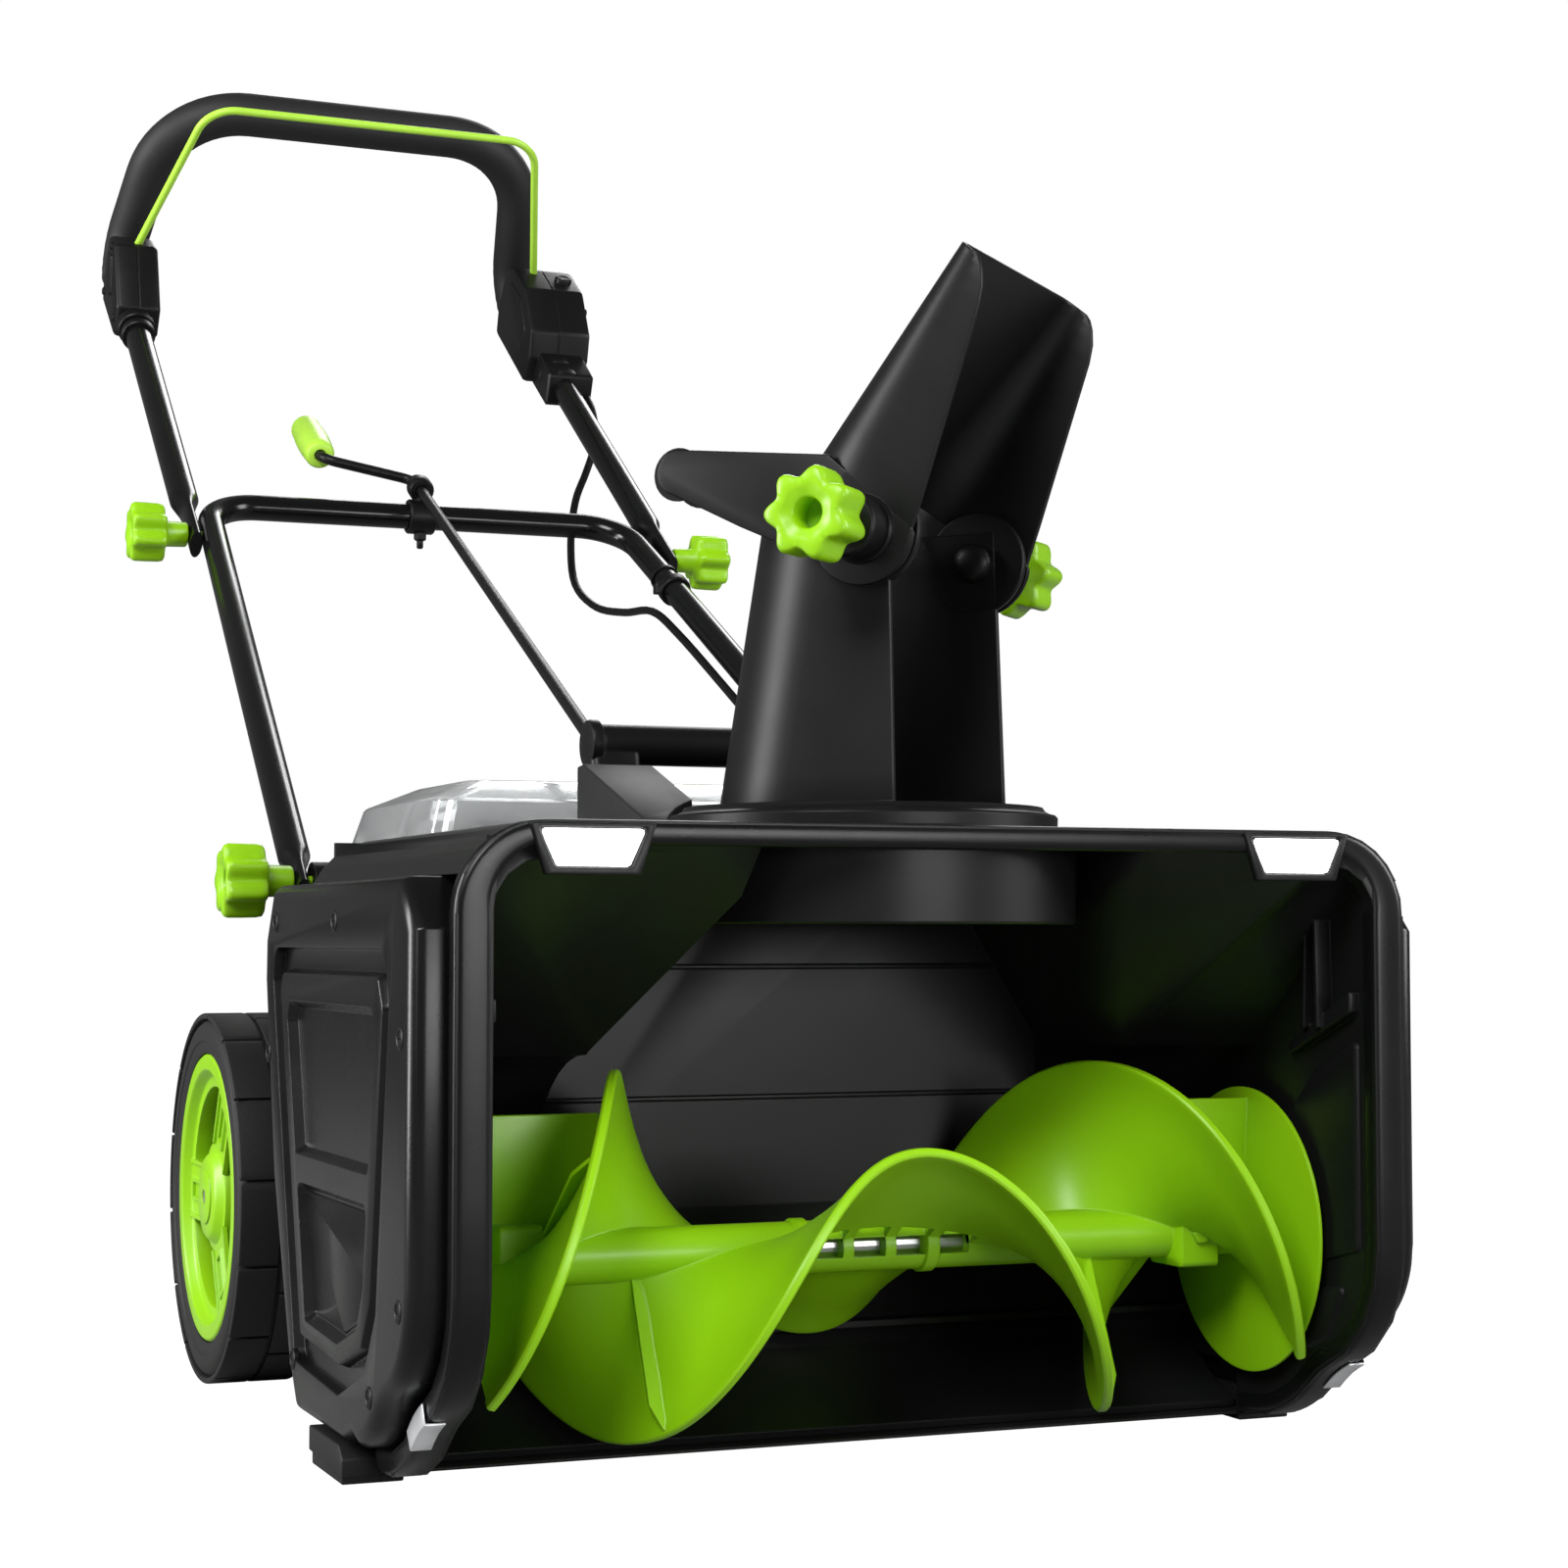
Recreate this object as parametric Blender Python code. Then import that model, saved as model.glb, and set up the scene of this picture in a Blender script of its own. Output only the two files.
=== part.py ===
"""Cordless single-stage snow blower with a turning chute, standing on its scraper and two wheels.

X runs across the machine, the mouth faces -Y and Z is up. Lengths along Y are counted from the
scraper's front edge and an empty then moves the machine so that its origin is below its middle.
"""

import math

import bmesh
import bpy
import numpy as np
from mathutils import Matrix, Vector

GAP = 0.0003  # between two pieces that touch
RUN = 0.0009  # round a piece that turns or slides
WALL = 0.004  # moulded shells
SHEET = 0.003  # the clear lid and small covers

# Housing and its mouth
HALF_WIDTH = 0.250  # scraper, side covers and wheels
RIM_HALF = 0.234
WALL_IN = 0.2175  # inner face of the housing's side wall
MOUTH_Y = -0.130
RIM_DEPTH = 0.010
ROOF_Z = 0.298
SHOULDER_R = 0.040
COVER_TOP = 0.2745
REAR_Y = 0.150  # back of the housing
BELLY_Z = 0.050  # underside of the housing behind the scoop
SCRAPER_DEPTH = 0.066
SCRAPER_LOW = 0.003
SCRAPER_TOP = 0.030
PAD_LENGTH = 0.030  # the scraper's wear pads, which stand on the ground

# Auger
AUGER_Y = -0.0204
AUGER_Z = 0.1006
AUGER_R = 0.086
AUGER_HALF = 0.2130
AUGER_PITCH = 0.2116  # along X for one turn
FLIGHT_T = 0.0030
HUB_R = 0.0125
SHAFT_R = 0.0060
SCOOP_R = 0.0930  # inner radius of the scoop round the auger
PADDLE_HALF = 0.060
PADDLE_PHI = math.radians(66.5)  # from straight up towards the mouth
END_DISC_R = 0.075

# Throat and chute, turned about a vertical axis above the auger
THROAT_HALF = 0.140
THROAT_TOP_HALF = 0.0955
WING_Z = 0.195  # where the sloping ceiling meets the scoop
WING_FRONT_Z = 0.288
COLLAR_R = 0.102
COLLAR_Z = 0.262
FLANGE_R = 0.094
FLANGE_T = 0.0095
NECK_R = 0.0800
CHUTE_YAW = math.radians(41.8)  # throw direction, from straight ahead towards +X
CHUTE_HALF = 0.070
CHUTE_TOP = 0.450
HINGE_Q = 0.033
HINGE_Z = 0.435
EAR_R = 0.026
RING_TEETH = 36
TOOTH_H = 0.0050
GEAR_Z = 0.2710
GEAR_T = 0.0140
WORM_R = 0.0070
WORM_HALF = 0.015

# Wheels
WHEEL_R = 0.1028
WHEEL_Y = 0.330
WHEEL_W = 0.046
RIM_R = 0.080
AXLE_R = 0.0060

# Rear housing, battery bay and lid
TAIL_HALF = 0.190
TAIL_Y = 0.425
TAIL_TOP = 0.287
TAIL_LOW = 0.060
BAY_HALF = 0.150
BAY_Y0 = 0.212
BAY_Y1 = 0.400
BAY_DEPTH = 0.060
LID_Z = 0.336
PACK_W = 0.118
PACK_H = 0.072
PACK_L = 0.160

# Motor and belt drive, inside the right side cover
MOTOR_Y = 0.1125
MOTOR_Z = 0.150
MOTOR_R = 0.031
MOTOR_L = 0.095
BELT_X = 0.2285  # inner edge of the belt
BELT_W = 0.009
BELT_T = 0.003
BIG_PULLEY_R = 0.039
DRIVE_RATIO = 3.0
BEARING_R = 0.011
BEARING_W = 0.008

# Handles
LEG_R = 0.0095
TUBE_R = 0.0105
TUBE_T = 0.0015
FOOT = Vector((0.1964, 0.330, 0.280))
CROSSBAR_Y = 0.807
CROSSBAR_Z = 0.5645
CROSSBAR_X = 0.161
CORNER_R = 0.040
BOLT_BACK = 0.058  # the fold's bolts, measured down the legs from the crossbar
ELBOW = Vector((0.172, 1.148, 0.816))
GRIP_TOP = Vector((0.150, 1.040, 0.925))
ELBOW_R = 0.034
GRIP_CORNER_R = 0.075
FOAM_R = 0.0175
FOAM_START = 0.462  # along the tube from its lower end
BAIL_R = 0.003
BAIL_Y = 1.078
BAIL_Z = 0.809

# Star knobs
KNOB_R = 0.0215
KNOB_T = 0.024
STEM_R = 0.009
STEM_L = 0.016
STUD_R = 0.003
LOBES = 7

# Carry handle and chute crank
CARRY_Y = 0.150
CARRY_Z = 0.350
CARRY_R = 0.0108
CARRY_HALF = 0.085
POST_W = 0.028
POST_D = 0.020
ROD_R = 0.004
YOKE = Vector((-0.062, 0.190, 0.347))
EYELET_LIFT = 0.0215
CRANK_REACH = 0.028  # rod beyond the eyelet
CRANK_ARM = 0.072
CRANK_GRIP_R = 0.0125
CRANK_GRIP_L = 0.082
CABLE_R = 0.003


# ---------------------------------------------------------------- shapes


def clear_scene():
    for obj in list(bpy.data.objects):
        bpy.data.objects.remove(obj, do_unlink=True)


def finish(name, color, rough, metal=0.0):
    material = bpy.data.materials.get(name) or bpy.data.materials.new(name)
    material.use_nodes = True
    shader = material.node_tree.nodes["Principled BSDF"]
    shader.inputs["Base Color"].default_value = (*color, 1.0)
    shader.inputs["Roughness"].default_value = rough
    shader.inputs["Metallic"].default_value = metal
    return material


def from_rings(name, rings, closed=False):
    """A closed surface through rings of equally many points, capped unless the rings close up."""
    bm = bmesh.new()
    rows = [[bm.verts.new(point) for point in ring] for ring in rings]
    pairs = list(zip(rows, rows[1:]))
    if closed:
        pairs.append((rows[-1], rows[0]))
    for low, high in pairs:
        count = len(low)
        for i in range(count):
            j = (i + 1) % count
            bm.faces.new((low[i], low[j], high[j], high[i]))
    if not closed:
        bm.faces.new(rows[0])
        bm.faces.new(rows[-1])
    return mesh_object(name, bm)


def twist(quad):
    """How far a quad's last corner is from the plane of the other three."""
    a, b, c, d = [vertex.co for vertex in quad.verts]
    normal = (b - a).cross(c - a)
    return abs((d - a).dot(normal.normalized())) if normal.length > 1e-12 else 0.0


def mesh_object(name, bm):
    """An object from a closed mesh, with every twisted face split so that a Boolean can use it."""
    quads = [face for face in bm.faces if len(face.verts) == 4]
    twisted = [face for face in quads if twist(face) > 1e-6]
    bmesh.ops.triangulate(bm, faces=twisted)
    bmesh.ops.recalc_face_normals(bm, faces=bm.faces)
    if bm.calc_volume(signed=True) < 0:
        bmesh.ops.reverse_faces(bm, faces=bm.faces)
    mesh = bpy.data.meshes.new(name)
    bm.to_mesh(mesh)
    bm.free()
    obj = bpy.data.objects.new(name, mesh)
    bpy.context.scene.collection.objects.link(obj)
    return obj


def helper(obj):
    obj.hide_render = True
    obj.display_type = "WIRE"
    return obj


def combine(obj, operation, others):
    for other in others:
        helper(other)
        modifier = obj.modifiers.new(operation.title() + " " + other.name, "BOOLEAN")
        modifier.operation = operation
        modifier.object = other
    return obj


def join(obj, *others):
    return combine(obj, "UNION", others)


def cut(obj, *others):
    return combine(obj, "DIFFERENCE", others)


def keep_within(obj, *others):
    return combine(obj, "INTERSECT", others)


def block(name, low, high):
    (x0, y0, z0), (x1, y1, z1) = low, high
    corners = ((x0, y0), (x1, y0), (x1, y1), (x0, y1))
    return from_rings(name, [[(x, y, z) for x, y in corners] for z in (z0, z1)])


def plate_x(name, outline, x0, x1):
    """A prism of a (y, z) outline between two X planes."""
    return from_rings(name, [[(x, y, z) for y, z in outline] for x in (x0, x1)])


def plate_y(name, outline, y0, y1):
    """A prism of an (x, z) outline between two Y planes."""
    return from_rings(name, [[(x, y, z) for x, z in outline] for y in (y0, y1)])


def arc(cy, cz, radius, start, end, steps):
    """Points on a circle, with angles in degrees."""
    angles = np.radians(np.linspace(start, end, steps + 1))
    return [(cy + radius * math.cos(a), cz + radius * math.sin(a)) for a in angles]


def circle(center, u, v, radius, sides):
    angles = [2 * math.pi * i / sides for i in range(sides)]
    return [center + radius * (math.cos(a) * u + math.sin(a) * v) for a in angles]


def across(axis):
    """Two unit vectors square to an axis."""
    axis = Vector(axis).normalized()
    side = Vector((0, 0, 1)) if abs(axis.z) < 0.9 else Vector((0, 1, 0))
    u = axis.cross(side).normalized()
    return u, axis.cross(u).normalized()


def turned(name, axis, center, profile, sides=24, closed=False):
    """A turned piece. The profile lists (distance along the axis, radius)."""
    axis = Vector(axis).normalized()
    center = Vector(center)
    u, v = across(axis)
    rings = [circle(center + axis * at, u, v, radius, sides) for at, radius in profile]
    return from_rings(name, rings, closed)


def rod(name, start, end, radius, sides=12):
    start, end = Vector(start), Vector(end)
    length = (end - start).length
    return turned(name, end - start, start, [(0, radius), (length, radius)], sides)


def opened(radius, sides):
    """The corner radius of a many-sided hole whose flats clear a round of this radius."""
    return radius / math.cos(math.pi / sides)


def hole(name, start, end, radius, sides=12):
    """A cutter that leaves this much radius all round."""
    return rod(name, start, end, opened(radius, sides), sides)


def tube_ring(name, axis, center, low, high, outer, inner, sides=24):
    inner = opened(inner, sides)
    profile = [(low, outer), (high, outer), (high, inner), (low, inner)]
    return turned(name, axis, center, profile, sides, closed=True)


def filleted(points, radii, steps=4):
    """A path through corner points, with each inner corner rounded, unless its radius is 0."""
    path = [Vector(points[0])]
    for before, corner, after, radius in zip(points, points[1:], points[2:], radii):
        corner = Vector(corner)
        if not radius:
            path.append(corner)
            continue
        back = (Vector(before) - corner).normalized()
        ahead = (Vector(after) - corner).normalized()
        half = back.angle(ahead) / 2
        reach = radius / math.tan(half)
        center = corner + (back + ahead).normalized() * radius / math.sin(half)
        first = corner + back * reach - center
        last = corner + ahead * reach - center
        turn = first.angle(last)
        for i in range(steps + 1):
            share = i / steps
            point = (
                first * math.sin(turn * (1 - share)) + last * math.sin(turn * share)
            ) / math.sin(turn)
            path.append(center + point)
    path.append(Vector(points[-1]))
    return path


def smooth(points, spacing):
    """Evenly spaced points on the Catmull-Rom curve through a route's points."""
    points = [Vector(p) for p in points]
    ends = [2 * points[0] - points[1]] + points + [2 * points[-1] - points[-2]]
    dense = []
    for a, b, c, d in zip(ends, ends[1:], ends[2:], ends[3:]):
        for i in range(20):
            t = i / 20
            dense.append(
                0.5
                * (
                    2 * b
                    + (c - a) * t
                    + (2 * a - 5 * b + 4 * c - d) * t**2
                    + (3 * b - a - 3 * c + d) * t**3
                )
            )
    dense.append(points[-1])
    along = np.cumsum([0.0] + [(b - a).length for a, b in zip(dense, dense[1:])])
    count = max(2, round(along[-1] / spacing) + 1)
    wanted = np.linspace(0, along[-1], count)
    columns = [np.interp(wanted, along, [p[k] for p in dense]) for k in range(3)]
    return [Vector(p) for p in zip(*columns)]


def path_frames(path):
    """(distance, point, u, v) along a path, with the cross-section turning as little as it can."""
    tangents = []
    for i in range(len(path)):
        before = path[max(i - 1, 0)]
        after = path[min(i + 1, len(path) - 1)]
        tangents.append((after - before).normalized())
    u, _ = across(tangents[0])
    frames = []
    along = 0.0
    for i, (point, tangent) in enumerate(zip(path, tangents)):
        if i:
            along += (point - path[i - 1]).length
        u = (u - tangent * u.dot(tangent)).normalized()
        frames.append((along, point, u, tangent.cross(u)))
    return frames


def stretch(frames, start, end):
    """The part of a framed path between two distances."""

    def at(distance):
        for one, two in zip(frames, frames[1:]):
            if one[0] <= distance <= two[0]:
                share = (distance - one[0]) / (two[0] - one[0])
                return tuple(a + (b - a) * share for a, b in zip(one, two))
        return frames[-1]

    margin = 0.002
    inner = [f for f in frames if start + margin < f[0] < end - margin]
    return [at(start)] + inner + [at(end)]


def pipe(name, frames, outer, inner=0.0, sides=8):
    """A pipe along a framed path, open at its ends, or a solid rod with no inner radius."""
    rings = [circle(p, u.normalized(), v.normalized(), outer, sides) for _, p, u, v in frames]
    if not inner:
        return from_rings(name, rings)
    back = [circle(p, u.normalized(), v.normalized(), inner, sides) for _, p, u, v in frames[::-1]]
    return from_rings(name, rings + back, closed=True)


def offset_strip(path, thickness):
    """The outline of a strip that follows a path of (a, b) points, thickened to its left."""
    outer = []
    for i, (a, b) in enumerate(path):
        before = path[max(i - 1, 0)]
        after = path[min(i + 1, len(path) - 1)]
        da, db = after[0] - before[0], after[1] - before[1]
        length = math.hypot(da, db)
        outer.append((a - db / length * thickness, b + da / length * thickness))
    return list(path) + outer[::-1]


def rounded_box(half_x, y0, y1, z, corner, steps=2):
    """A level rounded rectangle, as points."""
    points = []
    for cx, cy, start in (
        (half_x - corner, y0 + corner, -90),
        (half_x - corner, y1 - corner, 0),
        (corner - half_x, y1 - corner, 90),
        (corner - half_x, y0 + corner, 180),
    ):
        points += [(x, y, z) for x, y in arc(cx, cy, corner, start, start + 90, steps)]
    return points


def place(name, obj, material, pivot=(0, 0, 0), smooth_angle=35):
    """Names a piece, gives it its finish and puts its origin on its joint's axis."""
    obj.name = name
    obj.data.name = name
    obj.data.materials.append(material)
    obj.data.shade_smooth()
    obj.data.set_sharp_from_angle(angle=math.radians(smooth_angle))
    pivot = Vector(pivot)
    obj.data.transform(Matrix.Translation(-pivot))
    obj.location = pivot
    return obj


# ---------------------------------------------------------------- finishes

BLACK_GLOSS = finish("black_gloss", (0.012, 0.012, 0.013), 0.25)
BLACK_SATIN = finish("black_satin", (0.016, 0.016, 0.017), 0.45)
BLACK_TEXTURED = finish("black_textured", (0.014, 0.014, 0.014), 0.75)
TUBE_PAINT = finish("tube_paint", (0.010, 0.010, 0.011), 0.22)
FOAM = finish("foam", (0.018, 0.018, 0.019), 0.95)
GREEN = finish("lime_green", (0.30, 0.64, 0.016), 0.35)
PALE_GREEN = finish("pale_green", (0.48, 0.78, 0.08), 0.4)
TYRE = finish("tyre_rubber", (0.012, 0.012, 0.012), 0.85)
STEEL = finish("steel", (0.55, 0.55, 0.56), 0.3, 1.0)
SILVER = finish("silver", (0.75, 0.76, 0.78), 0.35, 0.6)
CLEAR = finish("clear_plastic", (0.9, 0.92, 0.93), 0.08)
LAMP = finish("lamp_white", (1.0, 1.0, 1.0), 0.2)
BELT = finish("belt_rubber", (0.02, 0.02, 0.02), 0.8)
BOARD = finish("board_green", (0.02, 0.12, 0.05), 0.5)


# ---------------------------------------------------------------- places worked out from the sizes

X_AXIS = Vector((1, 0, 0))
Z_AXIS = Vector((0, 0, 1))
AUGER = Vector((0, AUGER_Y, AUGER_Z))
CHUTE = Vector((0, AUGER_Y, 0))
THROW = Vector((math.sin(CHUTE_YAW), -math.cos(CHUTE_YAW), 0))
ACROSS = Vector((math.cos(CHUTE_YAW), math.sin(CHUTE_YAW), 0))
MOTOR = Vector((0, MOTOR_Y, MOTOR_Z))
AXLE = Vector((0, WHEEL_Y, WHEEL_R))
LEG = (Vector((CROSSBAR_X, CROSSBAR_Y, CROSSBAR_Z)) - FOOT).normalized()
BOLT = Vector((CROSSBAR_X, CROSSBAR_Y, CROSSBAR_Z)) - LEG * BOLT_BACK
EYELET = Vector((0, CROSSBAR_Y, CROSSBAR_Z + EYELET_LIFT))
CRANK_AXIS = (EYELET - YOKE).normalized()
HINGE = CHUTE + THROW * HINGE_Q + Vector((0, 0, HINGE_Z))
GEAR_TIP = NECK_R + TOOTH_H
FLANGE_Z = ROOF_Z + RUN / 2


def worm_centre():
    """The point beside the chute's gear where a level line from the yoke runs along its edge."""
    offset = GEAR_TIP + WORM_R + RUN
    to_yoke = Vector((YOKE.x - CHUTE.x, YOKE.y - CHUTE.y, 0))
    bearing = math.atan2(to_yoke.y, to_yoke.x) + math.acos(offset / to_yoke.length)
    level = CHUTE + offset * Vector((math.cos(bearing), math.sin(bearing), 0))
    return level + Vector((0, 0, GEAR_Z + GEAR_T / 2))


WORM = worm_centre()
WORM_AXIS = (YOKE - WORM).normalized()


def side_name(stem, side):
    return stem + ("_right" if side > 0 else "_left")


# ---------------------------------------------------------------- housing


def mouth_curve():
    """The housing's side outline from the front edge down and back to the scraper, as (y, z)."""
    return [
        (MOUTH_Y, 0.100),
        (MOUTH_Y + 0.003, 0.082),
        (MOUTH_Y + 0.012, 0.064),
        (MOUTH_Y + 0.028, 0.048),
        (MOUTH_Y + 0.051, 0.036),
        (MOUTH_Y + 0.074, 0.019),
        (MOUTH_Y + 0.100, 0.008),
        (-RUN, 0.0055),
    ]


def side_outline():
    over_scraper = SCRAPER_TOP + GAP
    back = [
        (-RUN, over_scraper),
        (SCRAPER_DEPTH + RUN, over_scraper),
        (SCRAPER_DEPTH + 0.020, BELLY_Z),
        (REAR_Y, BELLY_Z),
        (REAR_Y, ROOF_Z + RUN),
        (MOUTH_Y, ROOF_Z + RUN),
    ]
    return mouth_curve() + back


def shell_outline():
    """The housing seen from the front: roof, rounded shoulders, ledges and side walls."""
    flat = RIM_HALF - SHOULDER_R
    drop = math.degrees(math.asin((COVER_TOP + GAP - ROOF_Z + SHOULDER_R) / SHOULDER_R))
    outer = arc(flat, ROOF_Z - SHOULDER_R, SHOULDER_R, 90, drop, 5)
    inner = arc(flat, ROOF_Z - SHOULDER_R, SHOULDER_R - WALL, 70, drop + 8, 3)
    ledge = COVER_TOP + GAP
    wall_out = WALL_IN + WALL
    right = outer + [(wall_out, ledge), (wall_out, 0)]
    right += [(WALL_IN, 0), (WALL_IN, ledge + WALL)] + inner[::-1] + [(flat, ROOF_Z - WALL)]
    left = [(-x, z) for x, z in right[::-1]]
    # The outline goes round the outside from left to right, then back along the inside.
    half = len(outer) + 2
    return left[-half:] + right[:half] + right[half:] + left[:-half]


def scoop_path():
    """The mouth's inner surface from the roof's front edge back and round to the scraper."""
    wing = [(MOUTH_Y + 0.002, WING_FRONT_Z)]
    low = -math.degrees(math.acos(-AUGER_Y / SCOOP_R)) + 2
    return wing + arc(AUGER_Y, AUGER_Z, SCOOP_R, 90, low, 18)


def auger_housing():
    depth = (MOUTH_Y, REAR_Y)
    outline = plate_x("side outline", side_outline(), -HALF_WIDTH - WALL, HALF_WIDTH + WALL)
    shell = plate_y("auger_housing", shell_outline(), *depth)
    keep_within(shell, outline)

    lip = WALL_IN + WALL / 2
    scoop = plate_x("scoop", offset_strip(scoop_path(), WALL), -lip, lip)
    throat_low = AUGER_Z + 0.012
    throat = [
        (-THROAT_HALF, throat_low),
        (THROAT_HALF, throat_low),
        (THROAT_HALF, WING_Z),
        (THROAT_TOP_HALF, COLLAR_Z + WALL),
        (THROAT_TOP_HALF, ROOF_Z + WALL),
        (-THROAT_TOP_HALF, ROOF_Z + WALL),
        (-THROAT_TOP_HALF, COLLAR_Z + WALL),
        (-THROAT_HALF, WING_Z),
    ]
    scoop_back = AUGER_Y + SCOOP_R
    cut(scoop, plate_y("throat way", throat, MOUTH_Y - WALL, scoop_back))

    pieces = [scoop]
    mouth = [(MOUTH_Y - WALL, WING_FRONT_Z + WALL)] + scoop_path()
    mouth += [(MOUTH_Y - WALL, -WALL)]
    for side in (-1, 1):
        wall = [
            (side * THROAT_HALF, throat_low - WALL),
            (side * THROAT_HALF, WING_Z),
            (side * THROAT_TOP_HALF, COLLAR_Z + WALL),
            (side * THROAT_TOP_HALF, ROOF_Z - WALL / 2),
            (side * (THROAT_TOP_HALF + WALL), ROOF_Z - WALL / 2),
            (side * (THROAT_TOP_HALF + WALL), COLLAR_Z + WALL),
            (side * (THROAT_HALF + WALL), WING_Z),
            (side * (THROAT_HALF + WALL), throat_low - WALL),
        ]
        wing = plate_y(side_name("throat wall", side), wall, MOUTH_Y + 0.004, scoop_back + WALL / 2)
        cut(wing, plate_x(side_name("auger space", side), mouth, -HALF_WIDTH, HALF_WIDTH))
        pieces.append(wing)
    back_half = THROAT_HALF + WALL / 2
    pieces.append(
        block(
            "throat back",
            (-back_half, scoop_back - 0.0001, AUGER_Z),
            (back_half, scoop_back + WALL, ROOF_Z - WALL / 2),
        )
    )
    low, high = COLLAR_Z, ROOF_Z - WALL / 2
    pieces.append(
        tube_ring("collar", (0, 0, 1), CHUTE, low, high, COLLAR_R, COLLAR_R - WALL, 40)
    )
    pieces.append(
        block(
            "bulkhead",
            (-lip, REAR_Y - WALL, BELLY_Z + 0.0007),
            (lip, REAR_Y - 0.0002, ROOF_Z - WALL / 2),
        )
    )
    pieces.append(
        block(
            "belly",
            (-lip, SCRAPER_DEPTH - 0.014, BELLY_Z + 0.0007),
            (lip, REAR_Y - WALL / 2, BELLY_Z + WALL),
        )
    )
    # The rim stands out round the mouth, in front of the side covers.
    rim_back = MOUTH_Y + RIM_DEPTH
    for side in (-1, 1):
        front = [(MOUTH_Y, ROOF_Z - SHOULDER_R)] + mouth_curve()[:-1]
        band = offset_strip(front, RIM_DEPTH)
        inner, outer = side * (WALL_IN + 0.0008), side * RIM_HALF
        pieces.append(plate_x(side_name("rim", side), band, inner, outer))
        corner = arc(RIM_HALF - SHOULDER_R, ROOF_Z - SHOULDER_R, SHOULDER_R - 0.0002, 90, -3, 6)
        inside = arc(RIM_HALF - SHOULDER_R, ROOF_Z - SHOULDER_R, SHOULDER_R * 0.6, -3, 90, 4)
        shoulder = [(side * x, z) for x, z in corner + inside]
        pieces.append(
            plate_y(side_name("rim shoulder", side), shoulder, MOUTH_Y + 0.0002, rim_back)
        )
    join(shell, *pieces)

    holes = [
        turned("neck way", (0, 0, 1), CHUTE, [(COLLAR_Z, NECK_R + RUN), (0.32, NECK_R + RUN)], 40)
    ]
    holes += shaft_holes() + [worm_way()]
    cut(shell, *holes)
    return place("auger_housing", shell, BLACK_GLOSS)


def shaft_holes():
    reach = HALF_WIDTH
    bearing = BEARING_R + GAP
    motor = SHAFT_R + RUN
    return [
        hole("auger bearing holes", AUGER - X_AXIS * reach, AUGER + X_AXIS * reach, bearing, 20),
        hole("motor shaft hole", MOTOR + X_AXIS * (WALL_IN - WALL), MOTOR + X_AXIS * reach, motor),
    ]


def worm_way():
    """The slot through roof and collar for the worm and its shaft."""
    wide = WORM_R + 2 * RUN
    start = WORM - WORM_AXIS * (WORM_HALF + 2 * RUN)
    end = WORM + WORM_AXIS * 0.075
    return rod("worm way", start, end, wide, 14)


def side_cover(side):
    """A shallow shell over the housing's side; the right one holds the belt."""
    front = MOUTH_Y + RIM_DEPTH + GAP
    rim = [(MOUTH_Y, COVER_TOP), *mouth_curve()[:-1]]
    low_front = offset_strip(rim, RIM_DEPTH + RUN)[len(rim) :][-2::-1]
    over_scraper = SCRAPER_TOP + GAP
    outline = [(front, COVER_TOP - 0.014), *low_front, (-RUN, over_scraper)]
    outline += [
        (SCRAPER_DEPTH + 0.034, over_scraper),
        (0.109, 0.037),
        (0.150, 0.128),
        (0.173, 0.226),
        (0.172, 0.246),
        (0.155, COVER_TOP),
        (front + 0.014, COVER_TOP),
    ]
    middle = (0.02, 0.15)

    def shrunk(by):
        points = []
        for y, z in outline:
            dy, dz = y - middle[0], z - middle[1]
            length = math.hypot(dy, dz)
            points.append((y - by * dy / length, z - by * dz / length))
        return points

    def ring(x, by):
        return [(side * x, y, z) for y, z in shrunk(by)]

    foot = WALL_IN + WALL + GAP
    edge = 0.006
    rings = [
        ring(HALF_WIDTH, edge),
        ring(HALF_WIDTH - edge, 0),
        ring(foot, 0),
        ring(foot, SHEET),
        ring(HALF_WIDTH - edge, SHEET),
        ring(HALF_WIDTH - SHEET, edge + 0.002),
    ]
    name = side_name("side_cover", side)
    return place(name, from_rings(name, rings), BLACK_SATIN)


def scraper_bar():
    outline = [
        (0, SCRAPER_LOW),
        (SCRAPER_DEPTH, SCRAPER_LOW + 0.004),
        (SCRAPER_DEPTH, SCRAPER_TOP),
        (0.010, SCRAPER_TOP),
        (0, SCRAPER_LOW + 0.005),
    ]
    bar = plate_x("scraper_bar", outline, -HALF_WIDTH, HALF_WIDTH)
    seat = SCOOP_R + WALL + GAP
    cut(bar, hole("scoop seat", AUGER - X_AXIS, AUGER + X_AXIS, seat, 48))
    pads = []
    for side in (-1, 1):
        inner, outer = side * (HALF_WIDTH - PAD_LENGTH), side * (HALF_WIDTH - 0.0002)
        sole = [(0.0006, 0), (SCRAPER_DEPTH - 0.006, 0), (SCRAPER_DEPTH - 0.006, 0.012)]
        pads.append(plate_x(side_name("pad", side), sole + [(0.0006, 0.0045)], inner, outer))
    join(bar, *pads)
    return place("scraper_bar", bar, BLACK_TEXTURED)


def corner_clip(side):
    """The bright clip folded over the rim's lower front corner."""
    curve = [(y, z) for y, z in mouth_curve() if MOUTH_Y + 0.04 < y < MOUTH_Y + 0.08]
    strip = offset_strip([(y - GAP, z - GAP) for y, z in curve], -0.0012)
    name = side_name("corner_clip", side)
    x0, x1 = side * (RIM_HALF - 0.010), side * RIM_HALF
    return place(name, plate_x(name, strip, x0, x1), SILVER)


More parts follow.
